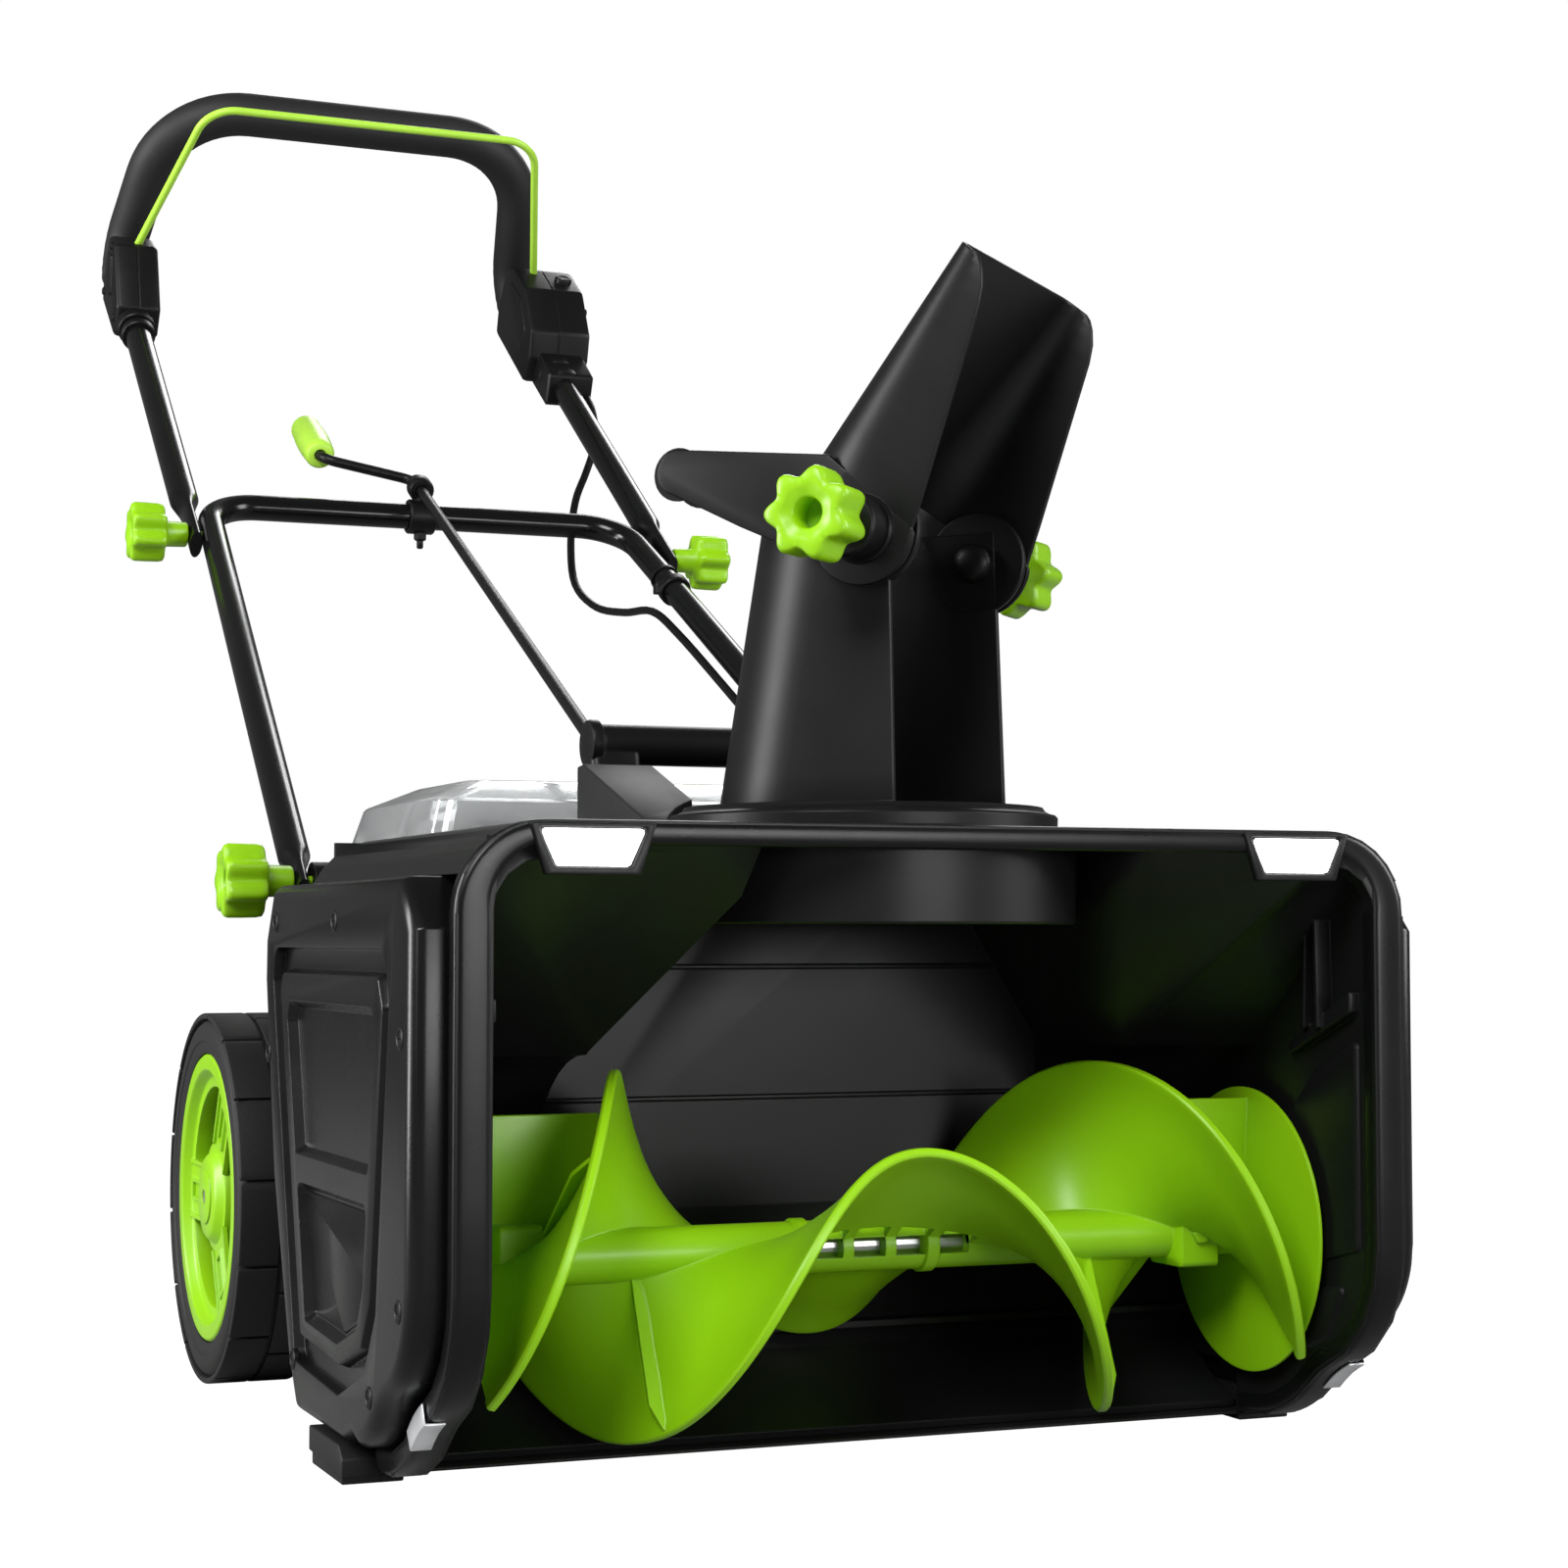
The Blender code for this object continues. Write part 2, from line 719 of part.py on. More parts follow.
def lamp(side):
    """A lamp's clear lens, set on the roof's front edge."""
    centre_x, low, high = side * 0.174, 0.2780, 0.2945
    front = MOUTH_Y - GAP
    back = [(-0.0165, low), (0.0165, low), (0.024, high), (-0.024, high)]
    rings = []
    for y, scale in ((front, 1.0), (front - 0.003, 0.96), (front - 0.0045, 0.82)):
        mid = (low + high) / 2
        rings.append([(centre_x + x * scale, y, mid + (z - mid) * scale) for x, z in back])
    name = side_name("lamp_lens", side)
    return place(name, from_rings(name, rings), LAMP)


# ---------------------------------------------------------------- auger


def auger_spoke(start):
    """The direction of one of the two starts at the middle of the auger."""
    angle = PADDLE_PHI + math.pi * start
    return Vector((0, -math.sin(angle), math.cos(angle)))


def flight(start, side, name):
    """One helical blade from the middle paddle out to an end disc."""
    x0, x1 = PADDLE_HALF - 0.004, AUGER_HALF - FLIGHT_T
    steps = 14
    thick = X_AXIS * FLIGHT_T * 0.7
    bm = bmesh.new()
    rows = []
    for i in range(steps + 1):
        x = x0 + (x1 - x0) * i / steps
        turn = (x - PADDLE_HALF) * 2 * math.pi / AUGER_PITCH
        out = Matrix.Rotation(turn, 3, "X") @ auger_spoke(start)
        low = AUGER + out * (HUB_R - 0.003) + X_AXIS * side * x
        high = AUGER + out * AUGER_R + X_AXIS * side * x
        rows.append([bm.verts.new(p) for p in (low - thick, high - thick, high + thick, low + thick)])
    for (a, b, c, d), (e, f, g, h) in zip(rows, rows[1:]):
        # both sides of the blade are split along the same diagonal, so that it stays as thick
        for face in ((a, b, f), (a, f, e), (b, c, g), (b, g, f)):
            bm.faces.new(face)
        for face in ((d, c, g), (d, g, h), (a, d, h), (a, h, e)):
            bm.faces.new(face)
    bm.faces.new(rows[0])
    bm.faces.new(rows[-1])
    return mesh_object(name, bm)


def paddle(start, name):
    """The flat blade between the two halves of a start."""
    out = auger_spoke(start)
    thick = out.cross(X_AXIS) * FLIGHT_T * 0.6
    rings = []
    for x in (-PADDLE_HALF, PADDLE_HALF):
        low = AUGER + out * (HUB_R - 0.004) + X_AXIS * x
        high = AUGER + out * AUGER_R + X_AXIS * x
        rings.append([low - thick, low + thick, high + thick, high - thick])
    return from_rings(name, rings)


def auger():
    ends = AUGER_HALF
    hub = turned("auger", X_AXIS, AUGER, [(-ends, HUB_R), (ends, HUB_R)], 16)
    pieces = [paddle(start, f"paddle {start}") for start in (0, 1)]
    for side in (-1, 1):
        word = side_name("", side)
        for start in (0, 1):
            pieces.append(flight(start, side, f"flight{word} {start}"))
        disc = [(side * (ends - FLIGHT_T), END_DISC_R), (side * (ends - GAP), END_DISC_R)]
        pieces.append(turned("end disc" + word, X_AXIS, AUGER, disc, 24))
        size = HUB_R + 0.004
        x0, x1 = sorted((side * 0.155, side * 0.180))
        corners = AUGER + Vector((x0, -size, -size)), AUGER + Vector((x1, size, size))
        pieces.append(block("hub block" + word, *corners))
    join(hub, *pieces)
    cut(hub, hole("auger bore", AUGER - X_AXIS, AUGER + X_AXIS, SHAFT_R + GAP, 12))
    return hub


def auger_group():
    pieces = [place("auger", auger(), GREEN, AUGER, 30)]
    left = -(WALL_IN + BEARING_W)
    right = BELT_X + BELT_W + 0.004
    profile = [(left, SHAFT_R - 0.0015), (left + 0.002, SHAFT_R), (right, SHAFT_R)]
    shaft = turned("auger_shaft", X_AXIS, AUGER, profile, 16)
    pieces.append(place("auger_shaft", shaft, STEEL, AUGER))
    pieces.append(pulley("auger_pulley", AUGER, BIG_PULLEY_R))
    for side in (-1, 1):
        name = side_name("auger_bearing", side)
        start = WALL_IN - 0.0005
        low, high = sorted((side * start, side * (start + BEARING_W)))
        ring = tube_ring(name, X_AXIS, AUGER, low, high, BEARING_R, SHAFT_R + GAP, 16)
        pieces.append(place(name, ring, STEEL))
    return pieces


def pulley(name, centre, radius):
    """A flanged flat-belt pulley on a shaft."""
    x0, x1 = BELT_X - 0.0015, BELT_X + BELT_W + 0.0015
    flange = radius + 0.002
    bore = SHAFT_R + GAP if radius > 0.02 else SHAFT_R * 0.5 + GAP
    profile = [
        (x0 - 0.0012, flange),
        (x0, flange),
        (x0, radius),
        (x1, radius),
        (x1, flange),
        (x1 + 0.0012, flange),
        (x1 + 0.0012, bore),
        (x0 - 0.0012, bore),
    ]
    return place(name, turned(name, X_AXIS, centre, profile, 20, closed=True), STEEL, centre)


def drive_belt():
    small = BIG_PULLEY_R / DRIVE_RATIO
    away = Vector((0, MOTOR_Y - AUGER_Y, MOTOR_Z - AUGER_Z))
    tilt = math.degrees(math.atan2(away.z, away.y))
    lean = math.degrees(math.asin((BIG_PULLEY_R - small) / away.length))

    def loop(extra):
        big, little = BIG_PULLEY_R + extra, small + extra
        first = arc(AUGER_Y, AUGER_Z, big, tilt + 90 - lean, tilt + 270 + lean, 16)
        return first + arc(MOTOR_Y, MOTOR_Z, little, tilt - 90 + lean, tilt + 90 - lean, 8)

    inner, outer = loop(GAP + 0.0006), loop(GAP + 0.0006 + BELT_T)
    x0, x1 = BELT_X, BELT_X + BELT_W
    rings = [
        [(x0, y, z) for y, z in outer],
        [(x1, y, z) for y, z in outer],
        [(x1, y, z) for y, z in inner],
        [(x0, y, z) for y, z in inner],
    ]
    return place("drive_belt", from_rings("drive_belt", rings, closed=True), BELT)


def motor_group():
    """The motor's can, fixed to the side wall, with its rotor and pulley."""
    face = WALL_IN - GAP
    x0 = face - MOTOR_L
    inner = MOTOR_R - 0.004
    shaft = SHAFT_R * 0.5
    can = [
        (x0, MOTOR_R * 0.8),
        (x0 + 0.006, MOTOR_R),
        (face, MOTOR_R),
        (face, shaft + RUN),
        (face - 0.004, shaft + RUN),
        (face - 0.004, inner),
        (x0 + 0.010, inner),
        (x0 + 0.010, shaft + RUN),
        (x0, shaft + RUN),
    ]
    stator = turned("motor_can", X_AXIS, MOTOR, can, 24, closed=True)
    tip = BELT_X + BELT_W + 0.004
    core = inner - RUN
    profile = [
        (x0 - 0.004, shaft),
        (x0 + 0.014, shaft),
        (x0 + 0.014, core),
        (face - 0.010, core),
        (face - 0.010, shaft),
        (tip, shaft),
    ]
    rotor = turned("motor_rotor", X_AXIS, MOTOR, profile, 20)
    small = BIG_PULLEY_R / DRIVE_RATIO
    return [
        place("motor_can", stator, STEEL),
        place("motor_rotor", rotor, STEEL, MOTOR),
        pulley("motor_pulley", MOTOR, small),
    ]


# ---------------------------------------------------------------- wheels


def wheel(side):
    outer_x = HALF_WIDTH
    inner_x = outer_x - WHEEL_W

    def at(profile):
        return [(side * x, r) for x, r in profile]

    tyre = at(
        [
            (inner_x, WHEEL_R - 0.008),
            (inner_x + 0.006, WHEEL_R),
            (outer_x - 0.006, WHEEL_R),
            (outer_x, WHEEL_R - 0.008),
            (outer_x, RIM_R + 0.003),
            (outer_x - 0.003, RIM_R),
            (inner_x + 0.003, RIM_R),
            (inner_x, RIM_R + 0.003),
        ]
    )
    name = side_name("tyre", side)
    rubber = turned(name, X_AXIS, AXLE, tyre, 24, closed=True)
    seat = RIM_R - GAP
    bore = AXLE_R + GAP
    hub = at(
        [
            (inner_x + 0.004, seat),
            (outer_x - 0.002, seat),
            (outer_x - 0.002, seat - 0.010),
            (outer_x - 0.014, seat - 0.013),
            (outer_x - 0.014, 0.024),
            (outer_x - 0.005, 0.021),
            (outer_x - 0.005, bore),
            (inner_x + 0.001, bore),
            (inner_x + 0.001, 0.018),
            (outer_x - 0.022, 0.024),
            (outer_x - 0.022, seat - 0.013),
            (inner_x + 0.004, seat - 0.008),
        ]
    )
    hub_name = side_name("wheel_hub", side)
    disc = turned(hub_name, X_AXIS, AXLE, hub, 24, closed=True)
    windows = []
    for k in range(3):
        turn = 90 + 120 * k
        inner = arc(WHEEL_Y, WHEEL_R, 0.030, turn + 26, turn + 94, 4)
        outer = arc(WHEEL_Y, WHEEL_R, 0.061, turn + 106, turn + 14, 8)
        outline = inner + outer
        windows.append(
            plate_x(f"window {k} {side}", outline, side * (inner_x + 0.008), side * outer_x)
        )
    cut(disc, *windows)
    return [
        place(name, rubber, TYRE, AXLE),
        place(hub_name, disc, GREEN, AXLE),
    ]


def wheel_axle():
    step = HALF_WIDTH - WHEEL_W - RUN
    head = HALF_WIDTH - 0.005 + GAP
    half = [
        (TAIL_HALF + GAP, AXLE_R),
        (TAIL_HALF + GAP, 0.011),
        (step, 0.011),
        (step, AXLE_R),
        (head, AXLE_R),
        (head, 0.011),
        (HALF_WIDTH - 0.001, 0.011),
    ]
    profile = [(-x, r) for x, r in half[::-1]] + half
    return place("wheel_axle", turned("wheel_axle", X_AXIS, AXLE, profile, 16), STEEL)


# ---------------------------------------------------------------- rear housing, batteries and lid


def rear_housing():
    front = REAR_Y + GAP
    mid = (TAIL_TOP + TAIL_LOW) / 2
    high = (TAIL_TOP - TAIL_LOW) / 2

    def ring(y, inset, shrink=0.0):
        corner = 0.030 - inset / 2
        half_x, half_z = TAIL_HALF - inset, high - inset - shrink
        points = []
        for cx, cz, start in (
            (half_x - corner, -half_z + corner, -90),
            (half_x - corner, half_z - corner, 0),
            (corner - half_x, half_z - corner, 90),
            (corner - half_x, -half_z + corner, 180),
        ):
            points += arc(cx, mid + cz, corner, start, start + 90, 3)
        return [(x, y, z) for x, z in points]

    rings = [
        ring(TAIL_Y, 0.012),
        ring(TAIL_Y - 0.015, 0),
        ring(front, 0),
        ring(front, WALL),
        ring(TAIL_Y - 0.017, WALL),
        ring(TAIL_Y - WALL, 0.016),
    ]
    shell = from_rings("rear_housing", rings)
    bay = block(
        "battery bay",
        (-BAY_HALF, BAY_Y0, TAIL_TOP - 0.02),
        (BAY_HALF, BAY_Y1, TAIL_TOP + 0.02),
    )
    reach = TAIL_HALF + WALL
    axle = hole("axle holes", AXLE - X_AXIS * reach, AXLE + X_AXIS * reach, AXLE_R + GAP, 16)
    for side in (-1, 1):
        start = Vector((side * (TAIL_HALF - 0.022), FOOT.y, FOOT.z - 0.002))
        end = Vector((side * TAIL_HALF, FOOT.y, FOOT.z - 0.002))
        join(shell, rod(side_name("foot boss", side), start, end, 0.013, 16))
    cut(shell, bay, axle, cross_hole("foot bolt holes", FOOT))
    return place("rear_housing", shell, BLACK_SATIN)


def battery_cradle():
    """The tray that hangs in the rear housing's opening and holds both packs."""
    low = TAIL_TOP - BAY_DEPTH
    half = BAY_HALF - 0.0005
    y0, y1 = BAY_Y0 + 0.0005, BAY_Y1 - 0.0005

    def ring(inset, z):
        return rounded_box(half - inset, y0 + inset, y1 - inset, z, 0.006)

    rings = [
        ring(0, low),
        ring(0, TAIL_TOP + GAP),
        ring(-0.004, TAIL_TOP + GAP),
        ring(-0.004, TAIL_TOP + GAP + 0.0015),
        ring(0.0025, TAIL_TOP + GAP + 0.0015),
        ring(0.0025, low + 0.003),
    ]
    tray = from_rings("battery_cradle", rings)
    return place("battery_cradle", tray, BLACK_SATIN)


def battery(side):
    low = TAIL_TOP - BAY_DEPTH + 0.003 + GAP
    mid_y = (BAY_Y0 + BAY_Y1) / 2
    centre = side * (PACK_W / 2 + 0.008)
    rings = []
    for z, inset in (
        (low, 0.003),
        (low + 0.003, 0),
        (low + PACK_H * 0.6, 0),
        (low + PACK_H * 0.62, 0.004),
        (low + PACK_H - 0.006, 0.005),
        (low + PACK_H, 0.010),
    ):
        half, long = PACK_W / 2 - inset, PACK_L / 2 - inset
        points = rounded_box(half, mid_y - long, mid_y + long, z, 0.008)
        rings.append([(x + centre, y, h) for x, y, h in points])
    name = side_name("battery_pack", side)
    return place(name, from_rings(name, rings), BLACK_TEXTURED)


def lid_hinge():
    return Vector((0, BAY_Y0 - 0.012, TAIL_TOP + GAP + 0.007))


def battery_lid():
    """The clear domed lid, hinged along its front edge."""
    base = TAIL_TOP + 0.0015 + 2 * GAP
    y0, y1 = BAY_Y0 - 0.0075, BAY_Y1 + 0.0075
    half = BAY_HALF + 0.007

    def ring(z, inset, wall):
        corner = 0.012
        return rounded_box(half - inset - wall, y0 + inset + wall, y1 - inset - wall, z, corner)

    rings = [
        ring(LID_Z, 0.034, 0),
        ring(LID_Z - 0.012, 0.010, 0),
        ring(base, 0, 0),
        ring(base, 0, SHEET),
        ring(LID_Z - 0.013, 0.010, SHEET),
        ring(LID_Z - SHEET, 0.034, SHEET - 0.001),
    ]
    lid = from_rings("battery_lid", rings)
    pin = lid_hinge()
    for side in (-1, 1):
        x0, x1 = side * 0.090, side * 0.120
        ear = [
            (pin.y - 0.005, pin.z - 0.005),
            (pin.y + 0.014, base + 0.0005),
            (pin.y + 0.014, base + 0.012),
            (pin.y - 0.002, pin.z + 0.005),
        ]
        join(lid, plate_x(side_name("lid ear", side), ear, x0, x1))
    bore = rod("lid pin hole", pin - X_AXIS, pin + X_AXIS, STUD_R * 0.7 + GAP, 10)
    cut(lid, bore)
    return place("battery_lid", lid, CLEAR, pin)


def lid_pin():
    """The lid's hinge pin with its two posts on the rear housing's front top."""
    pin = lid_hinge()
    bar = rod("lid_pin", pin - X_AXIS * 0.135, pin + X_AXIS * 0.135, STUD_R * 0.7, 10)
    posts = []
    for side in (-1, 1):
        x0, x1 = sorted((side * 0.1225, side * 0.134))
        posts.append(
            block(
                side_name("pin post", side),
                (x0, pin.y - 0.006, TAIL_TOP + GAP),
                (x1, pin.y + 0.004, pin.z + 0.005),
            )
        )
    return place("lid_pin", join(bar, *posts), BLACK_SATIN)


def control_board():
    back = REAR_Y - WALL - GAP
    board = block("control_board", (-0.150, back - 0.0075, 0.120), (-0.030, back - 0.0059, 0.205))
    posts = []
    for x in (-0.142, -0.038):
        for z in (0.128, 0.197):
            start = Vector((x, back - 0.0065, z))
            posts.append(rod(f"board post {x} {z}", start, start + Vector((0, 0.0065, 0)), 0.003, 8))
    blocks = [
        block("heat sink", (-0.140, back - 0.022, 0.135), (-0.100, back - 0.007, 0.190)),
        block("capacitor", (-0.080, back - 0.020, 0.140), (-0.050, back - 0.007, 0.165)),
    ]
    return place("control_board", join(board, *posts, *blocks), BOARD)


# ---------------------------------------------------------------- chute and deflector


def chute_point(q, p, z):
    """A point from its distances along the throw, across it and above the ground."""
    return CHUTE + THROW * q + ACROSS * p + Vector((0, 0, z))


def chute_plate(name, outline, p0, p1):
    """A prism of a (q, z) outline between two planes across the throw."""
    return from_rings(name, [[chute_point(q, p, z) for q, z in outline] for p in (p0, p1)])


def channel_ring(z):
    """The chute's U-shaped section at a height, leaning forward as it rises."""
    share = (z - FLANGE_Z) / (HINGE_Z - FLANGE_Z)
    half = CHUTE_HALF - 0.003 * share
    back = -0.069 + 0.0244 * share
    front = 0.047 - 0.004 * share

    def side(half, back):
        depth = half * 0.62
        curve = [(back + depth - depth * math.sin(a), half * math.cos(a)) for a in turns]
        return [(front, half)] + curve

    turns = np.linspace(0, math.pi / 2, 6)
    outer, inner = side(half, back), side(half - WALL, back + WALL)
    loop = outer + [(q, -p) for q, p in outer[-2::-1]]
    loop += [(q, -p) for q, p in inner] + inner[-2::-1]
    return [chute_point(q, p, z) for q, p in loop]


def ring_gear_outline():
    """Straight-sided teeth round the chute's neck, as (x, y)."""
    points = []
    for k in range(RING_TEETH):
        for share, radius in ((0.0, NECK_R), (0.25, NECK_R), (0.4, GEAR_TIP), (0.85, GEAR_TIP)):
            angle = 2 * math.pi * (k + share) / RING_TEETH
            points.append((radius * math.cos(angle), AUGER_Y + radius * math.sin(angle)))
    return points


def chute():
    flange_steps = [(FLANGE_Z, FLANGE_R), (FLANGE_Z + FLANGE_T, FLANGE_R)]
    flange = turned("chute", Z_AXIS, CHUTE, flange_steps, 36)
    neck_r = NECK_R - 0.0005
    neck = [(GEAR_Z - 0.004, neck_r), (FLANGE_Z + 0.004, neck_r)]
    teeth = ring_gear_outline()
    gear = from_rings("ring gear", [[(x, y, z) for x, y in teeth] for z in (GEAR_Z, GEAR_Z + GEAR_T)])
    bore = hole("neck bore", CHUTE, CHUTE + Z_AXIS * (FLANGE_Z + FLANGE_T / 2), NECK_R - WALL, 36)
    mouth = CHUTE_HALF - WALL - RUN
    through = rod("flange bore", CHUTE + Z_AXIS * 0.1, CHUTE + Z_AXIS * 0.5, mouth, 36)
    join(flange, turned("neck", Z_AXIS, CHUTE, neck, 36), gear)
    cut(flange, bore, through)
    heights = (FLANGE_Z + FLANGE_T * 0.7, CHUTE_TOP)
    channel = from_rings("channel", [channel_ring(z) for z in heights])
    ears = []
    outer = CHUTE_HALF - 0.003
    for side in (-1, 1):
        start = chute_point(HINGE_Q, side * (outer - WALL - GAP), HINGE_Z)
        end = chute_point(HINGE_Q, side * (outer + GAP), HINGE_Z)
        ears.append(rod(side_name("chute ear", side), start, end, EAR_R, 24))
    join(flange, channel, *ears)
    cut(flange, hinge_hole())
    return place("chute", flange, BLACK_SATIN, CHUTE)


def hinge_hole():
    reach = CHUTE_HALF + 0.05
    start = chute_point(HINGE_Q, -reach, HINGE_Z)
    return hole("hinge hole", start, chute_point(HINGE_Q, reach, HINGE_Z), STUD_R + GAP, 10)


DEFLECTOR_IN = CHUTE_HALF + 0.0005
DEFLECTOR_OUT = DEFLECTOR_IN + 0.0035
BOSS_OUT = DEFLECTOR_OUT + 0.0195


def deflector():
    back_low, back_high = (-0.0025, 0.471), (0.080, 0.566)
    grip, grip_r = (-0.063, 0.468), 0.0105
    outline = arc(HINGE_Q, HINGE_Z, EAR_R, -150, -20, 6)
    outline += [(0.091, 0.547), (0.089, 0.558), back_high, back_low]
    outline += [(-0.030, 0.484), *arc(*grip, grip_r, 75, 255, 5), (-0.030, 0.440)]
    walls = []
    for side in (-1, 1):
        p0, p1 = sorted((side * DEFLECTOR_IN, side * DEFLECTOR_OUT))
        walls.append(chute_plate(side_name("deflector", side), outline, p0, p1))
    left, right = walls
    lean = math.atan2(back_high[0] - back_low[0], back_high[1] - back_low[1])
    out_q, out_z = -WALL * math.cos(lean), WALL * math.sin(lean)
    back = [
        back_low,
        back_high,
        (back_high[0] + out_q, back_high[1] + out_z),
        (back_low[0] + out_q, back_low[1] + out_z),
    ]
    middle = (DEFLECTOR_IN + DEFLECTOR_OUT) / 2
    bar = rod(
        "deflector grip",
        chute_point(grip[0], -middle, grip[1]),
        chute_point(grip[0], middle, grip[1]),
        grip_r - 0.0005,
        14,
    )
    bosses = []
    for side in (-1, 1):
        start = chute_point(HINGE_Q, side * middle, HINGE_Z)
        end = chute_point(HINGE_Q, side * BOSS_OUT, HINGE_Z)
        bosses.append(rod(side_name("deflector boss", side), start, end, 0.015, 16))
    hood = chute_plate("deflector back", back, -middle, middle)
    left.name = "deflector"
    join(left, hood, bar, right, *bosses)
    cut(left, hinge_hole())
    return place("deflector", left, BLACK_SATIN, HINGE)


def star_knob(name, seat, axis, stud):
    """A seven-lobed knob whose stem rests on seat and whose stud runs back from it."""
    count = 2 * LOBES
    lobes = [KNOB_R if k % 2 == 0 else KNOB_R * 0.74 for k in range(count)]
    even = [1.0] * count
    face = STEM_L + KNOB_T
    steps = [
        (face - 0.014, 0.0065, even),
        (face, 0.0065, even),
        (face, 0.88, lobes),
        (face - 0.003, 1.0, lobes),
        (STEM_L, 0.96, lobes),
        (STEM_L, STEM_R, even),
        (0, STEM_R, even),
        (0, STUD_R, even),
        (-stud, STUD_R, even),
    ]
    axis = Vector(axis).normalized()
    u, v = across(axis)
    rings = []
    for at, scale, radii in steps:
        ring = []
        for k, radius in enumerate(radii):
            angle = 2 * math.pi * k / count
            spoke = math.cos(angle) * u + math.sin(angle) * v
            ring.append(Vector(seat) + axis * at + spoke * radius * scale)
        rings.append(ring)
    return place(name, from_rings(name, rings), GREEN, seat, 40)


def chute_fastenings():
    pieces = []
    inside = CHUTE_HALF - 0.003 - WALL - 2 * GAP
    nut_t = 0.005
    for side in (-1, 1):
        seat = chute_point(HINGE_Q, side * (BOSS_OUT + GAP), HINGE_Z)
        stud = BOSS_OUT + GAP - inside + nut_t
        pieces.append(star_knob(side_name("chute_knob", side), seat, ACROSS * side, stud))
        centre = chute_point(HINGE_Q, 0, HINGE_Z)
        low, high = sorted((side * (inside - nut_t), side * inside))
        name = side_name("chute_nut", side)
        nut = tube_ring(name, ACROSS, centre, low, high, 0.0075, STUD_R + GAP / 2, 6)
        pieces.append(place(name, nut, STEEL))
    return pieces


# ---------------------------------------------------------------- chute crank, worm and carry handle


def crank_points():
    """Corner points of the crank: up the rod, out along the arm and up the grip's spindle."""
    a = CRANK_AXIS
    left = (-X_AXIS + a * a.x).normalized()
    up = (Vector((0, 0, 1)) - a * a.z).normalized()
    tilt = math.radians(9)
    arm = left * math.cos(tilt) + up * math.sin(tilt)
    bend = EYELET + a * CRANK_REACH
    knuckle = bend + arm * CRANK_ARM
    return [YOKE + a * 0.002, bend, knuckle, knuckle + a * (CRANK_GRIP_L + 0.014)]


def crank():
    corners = crank_points()
    frames = path_frames(filleted(corners, [0.012, 0.012], 4))
    bar = pipe("crank", frames, ROD_R, sides=10)
    stop_at = EYELET + CRANK_AXIS * 0.011
    collar = rod("crank collar", stop_at, stop_at + CRANK_AXIS * 0.006, 0.0075, 12)
    tip = corners[-1]
    washer = rod("grip washer", tip - CRANK_AXIS * 0.002, tip + CRANK_AXIS * 0.0005, 0.0065, 10)
    return place("crank", join(bar, collar, washer), TUBE_PAINT, EYELET)


def crank_grip():
    knuckle, tip = crank_points()[-2:]
    bore = ROD_R + GAP
    start = 0.0115
    length = (tip - knuckle).length - 0.002 - GAP - start
    profile = [
        (0, 0.0095),
        (0.006, CRANK_GRIP_R * 0.92),
        (length * 0.35, CRANK_GRIP_R),
        (length * 0.75, CRANK_GRIP_R * 0.94),
        (length - 0.006, CRANK_GRIP_R * 0.96),
        (length, CRANK_GRIP_R * 0.75),
        (length, bore),
        (0, bore),
    ]
    origin = knuckle + CRANK_AXIS * start
    grip = turned("crank_grip", CRANK_AXIS, origin, profile, 16, closed=True)
    return place("crank_grip", grip, PALE_GREEN, origin)


def crank_eyelet():
    """A guide for the rod, clamped round the crossbar."""
    centre = Vector((0, CROSSBAR_Y, CROSSBAR_Z))
    clamp = tube_ring(
        "crank_eyelet", X_AXIS, centre, -0.010, 0.010, LEG_R + 0.0035, LEG_R + GAP, 20
    )
    eye = tube_ring("eye", CRANK_AXIS, EYELET, -0.008, 0.008, 0.0095, ROD_R * 0.6, 16)
    join(clamp, eye)
    way = EYELET + CRANK_AXIS * 0.1
    cut(clamp, rod("eye way", EYELET - CRANK_AXIS * 0.1, way, ROD_R + 0.0004, 12))
    cut(clamp, rod("bar way", centre - X_AXIS * 0.02, centre + X_AXIS * 0.02, LEG_R + GAP, 20))
    return place("crank_eyelet", clamp, BLACK_SATIN)


def worm():
    """A three-start worm, its shaft and the sleeve that takes the crank's rod."""
    u, v = across(WORM_AXIS)
    sides, steps, starts, lead = 12, 14, 3, 0.0222
    rings = []
    for i in range(steps + 1):
        at = -WORM_HALF + 2 * WORM_HALF * i / steps
        ring = []
        for k in range(sides):
            angle = 2 * math.pi * k / sides
            wave = math.cos(starts * angle - 2 * math.pi * starts * at / lead)
            radius = WORM_R - 0.0015 + 0.0015 * wave
            spoke = math.cos(angle) * u + math.sin(angle) * v
            ring.append(WORM + WORM_AXIS * at + spoke * radius)
        rings.append(ring)
    reach = (YOKE - WORM).length
    sleeve = 0.0075
    back = reach - 0.022
    for at, radius in (
        (WORM_HALF, 0.0035),
        (back, 0.0035),
        (back, sleeve),
        (reach + 0.002, sleeve),
        (reach + 0.002, ROD_R + 0.0016),
        (reach - 0.014, ROD_R + 0.0016),
    ):
        rings.append(circle(WORM + WORM_AXIS * at, u, v, radius, sides))
    return place("worm", from_rings("worm", rings), STEEL, WORM)


def shaft_way(name, radius=0.0042):
    start = WORM + WORM_AXIS * WORM_HALF * 0.8
    return rod(name, start, YOKE, radius, 12)


